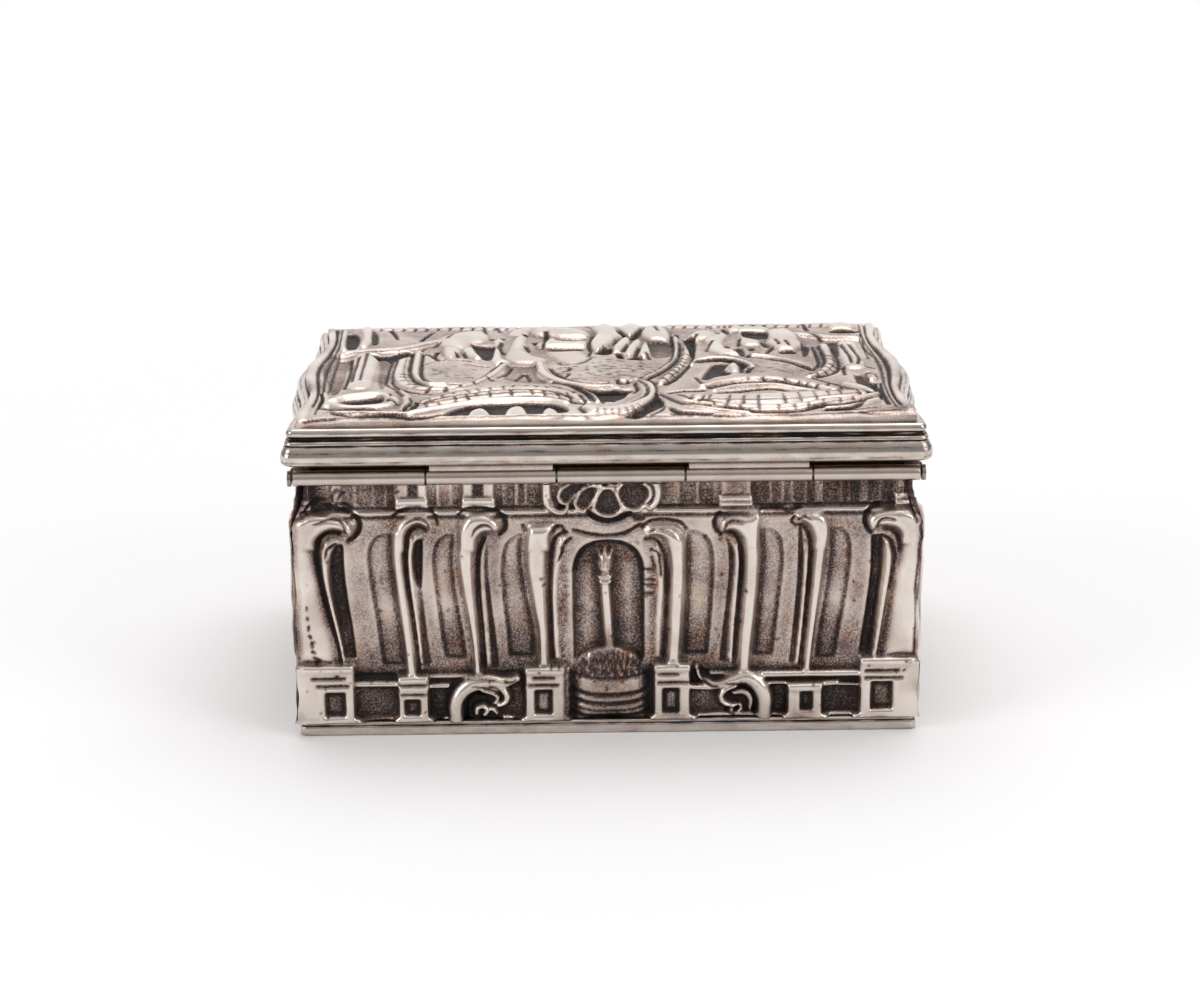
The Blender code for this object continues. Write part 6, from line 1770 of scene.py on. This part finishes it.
# World: white to the camera, and white in the silver where it lies beyond the box. As a light it is a
# soft room, brighter above the box and beyond it than at its sides and round the camera.
world = bpy.data.worlds.new("studio")
bpy.context.scene.world = world
world.use_nodes = True
tree = world.node_tree
rays = add_node(tree, "LightPath")
way = add_node(tree, "SeparateXYZ", None, {0: add_node(tree, "TexCoord").outputs["Generated"]})
sideways = add_node(tree, "Math", {"operation": "ABSOLUTE"}, {0: way.outputs["X"]})
above = add_node(tree, "MapRange", None, {
    "Value": way.outputs["Z"], "From Min": -0.1, "From Max": 0.8, "To Min": 0.45, "To Max": 1.0})
beyond = add_node(tree, "MapRange", None, {
    "Value": way.outputs["Y"], "From Min": -0.9, "From Max": 0.3, "To Min": 0.5, "To Max": 1.0})
at_side = add_node(tree, "MapRange", None, {
    "Value": sideways, "From Min": 0.3, "From Max": 0.85, "To Min": 1.0, "To Max": 0.4})
room = add_node(tree, "Math", {"operation": "MULTIPLY"}, {0: above, 1: beyond})
room = add_node(tree, "Math", {"operation": "MULTIPLY"}, {0: room, 1: at_side})
backdrop = add_node(tree, "MapRange", None, {"Value": way.outputs["Y"], "From Min": 0.3, "From Max": 0.7})
backdrop = add_node(tree, "Math", {"operation": "MULTIPLY"}, {
    0: backdrop, 1: rays.outputs["Is Glossy Ray"]})
seen = add_node(tree, "Math", {"operation": "MAXIMUM"}, {
    0: rays.outputs["Is Camera Ray"], 1: rays.outputs["Is Transmission Ray"]})
seen = add_node(tree, "Math", {"operation": "MAXIMUM"}, {0: seen, 1: backdrop})
strength = add_node(tree, "Math", {"operation": "MAXIMUM"}, {0: seen, 1: room})
tree.links.new(strength.outputs["Value"], tree.nodes["Background"].inputs["Strength"])
tree.nodes["Background"].inputs["Color"].default_value = (1.0, 1.0, 1.0, 1.0)


def add_lamp(name, place, size, power):
    """A soft box lamp that looks at the middle of the snuff box."""
    lamp = bpy.data.lights.new(name, "AREA")
    lamp.shape = "RECTANGLE"
    lamp.size, lamp.size_y = size
    lamp.energy = power
    stand = bpy.data.objects.new(name, lamp)
    stand.location = place
    stand.rotation_euler = (Vector(LAMP_AIM) - Vector(place)).to_track_quat("-Z", "Y").to_euler()
    bpy.context.scene.collection.objects.link(stand)


add_lamp("lamp_above", (0.1, 0.15, 0.7), (0.8, 0.6), 2.4)
add_lamp("lamp_left", (-0.6, -0.35, 0.3), (0.4, 0.5), 1.6)
add_lamp("lamp_right", (0.55, -0.4, 0.35), (0.35, 0.45), 1.2)

# Camera, from the fit: turned about the lid's near edge, and rolled about its own line of sight
near_edge = LID_DEPTH / 2 * MM
forward = Vector((0, math.cos(CAMERA_PITCH), -math.sin(CAMERA_PITCH)))
upward = Vector((0, math.sin(CAMERA_PITCH), math.cos(CAMERA_PITCH)))
across = Vector((1, 0, 0))
eye = Vector((AIM_ALONG, near_edge, AIM_HEIGHT)) - CAMERA_DISTANCE * forward
axes = Matrix((
    across * math.cos(CAMERA_ROLL) - upward * math.sin(CAMERA_ROLL),
    across * math.sin(CAMERA_ROLL) + upward * math.cos(CAMERA_ROLL),
    -forward,
)).transposed().to_4x4()
camera_data = bpy.data.cameras.new("camera")
camera_data.sensor_width = SENSOR_WIDTH
camera_data.lens = FOCAL_PIXELS / PHOTO_WIDTH * SENSOR_WIDTH
camera_data.clip_start = NEAR_CLIP
camera = bpy.data.objects.new("camera", camera_data)
turned = Matrix.Translation((0, -near_edge, 0)) @ Matrix.Rotation(-CAMERA_YAW, 4, "Z")
camera.matrix_world = turned @ Matrix.Translation(eye) @ axes
bpy.context.scene.collection.objects.link(camera)
bpy.context.scene.camera = camera

bpy.context.scene.view_settings.view_transform = "Standard"
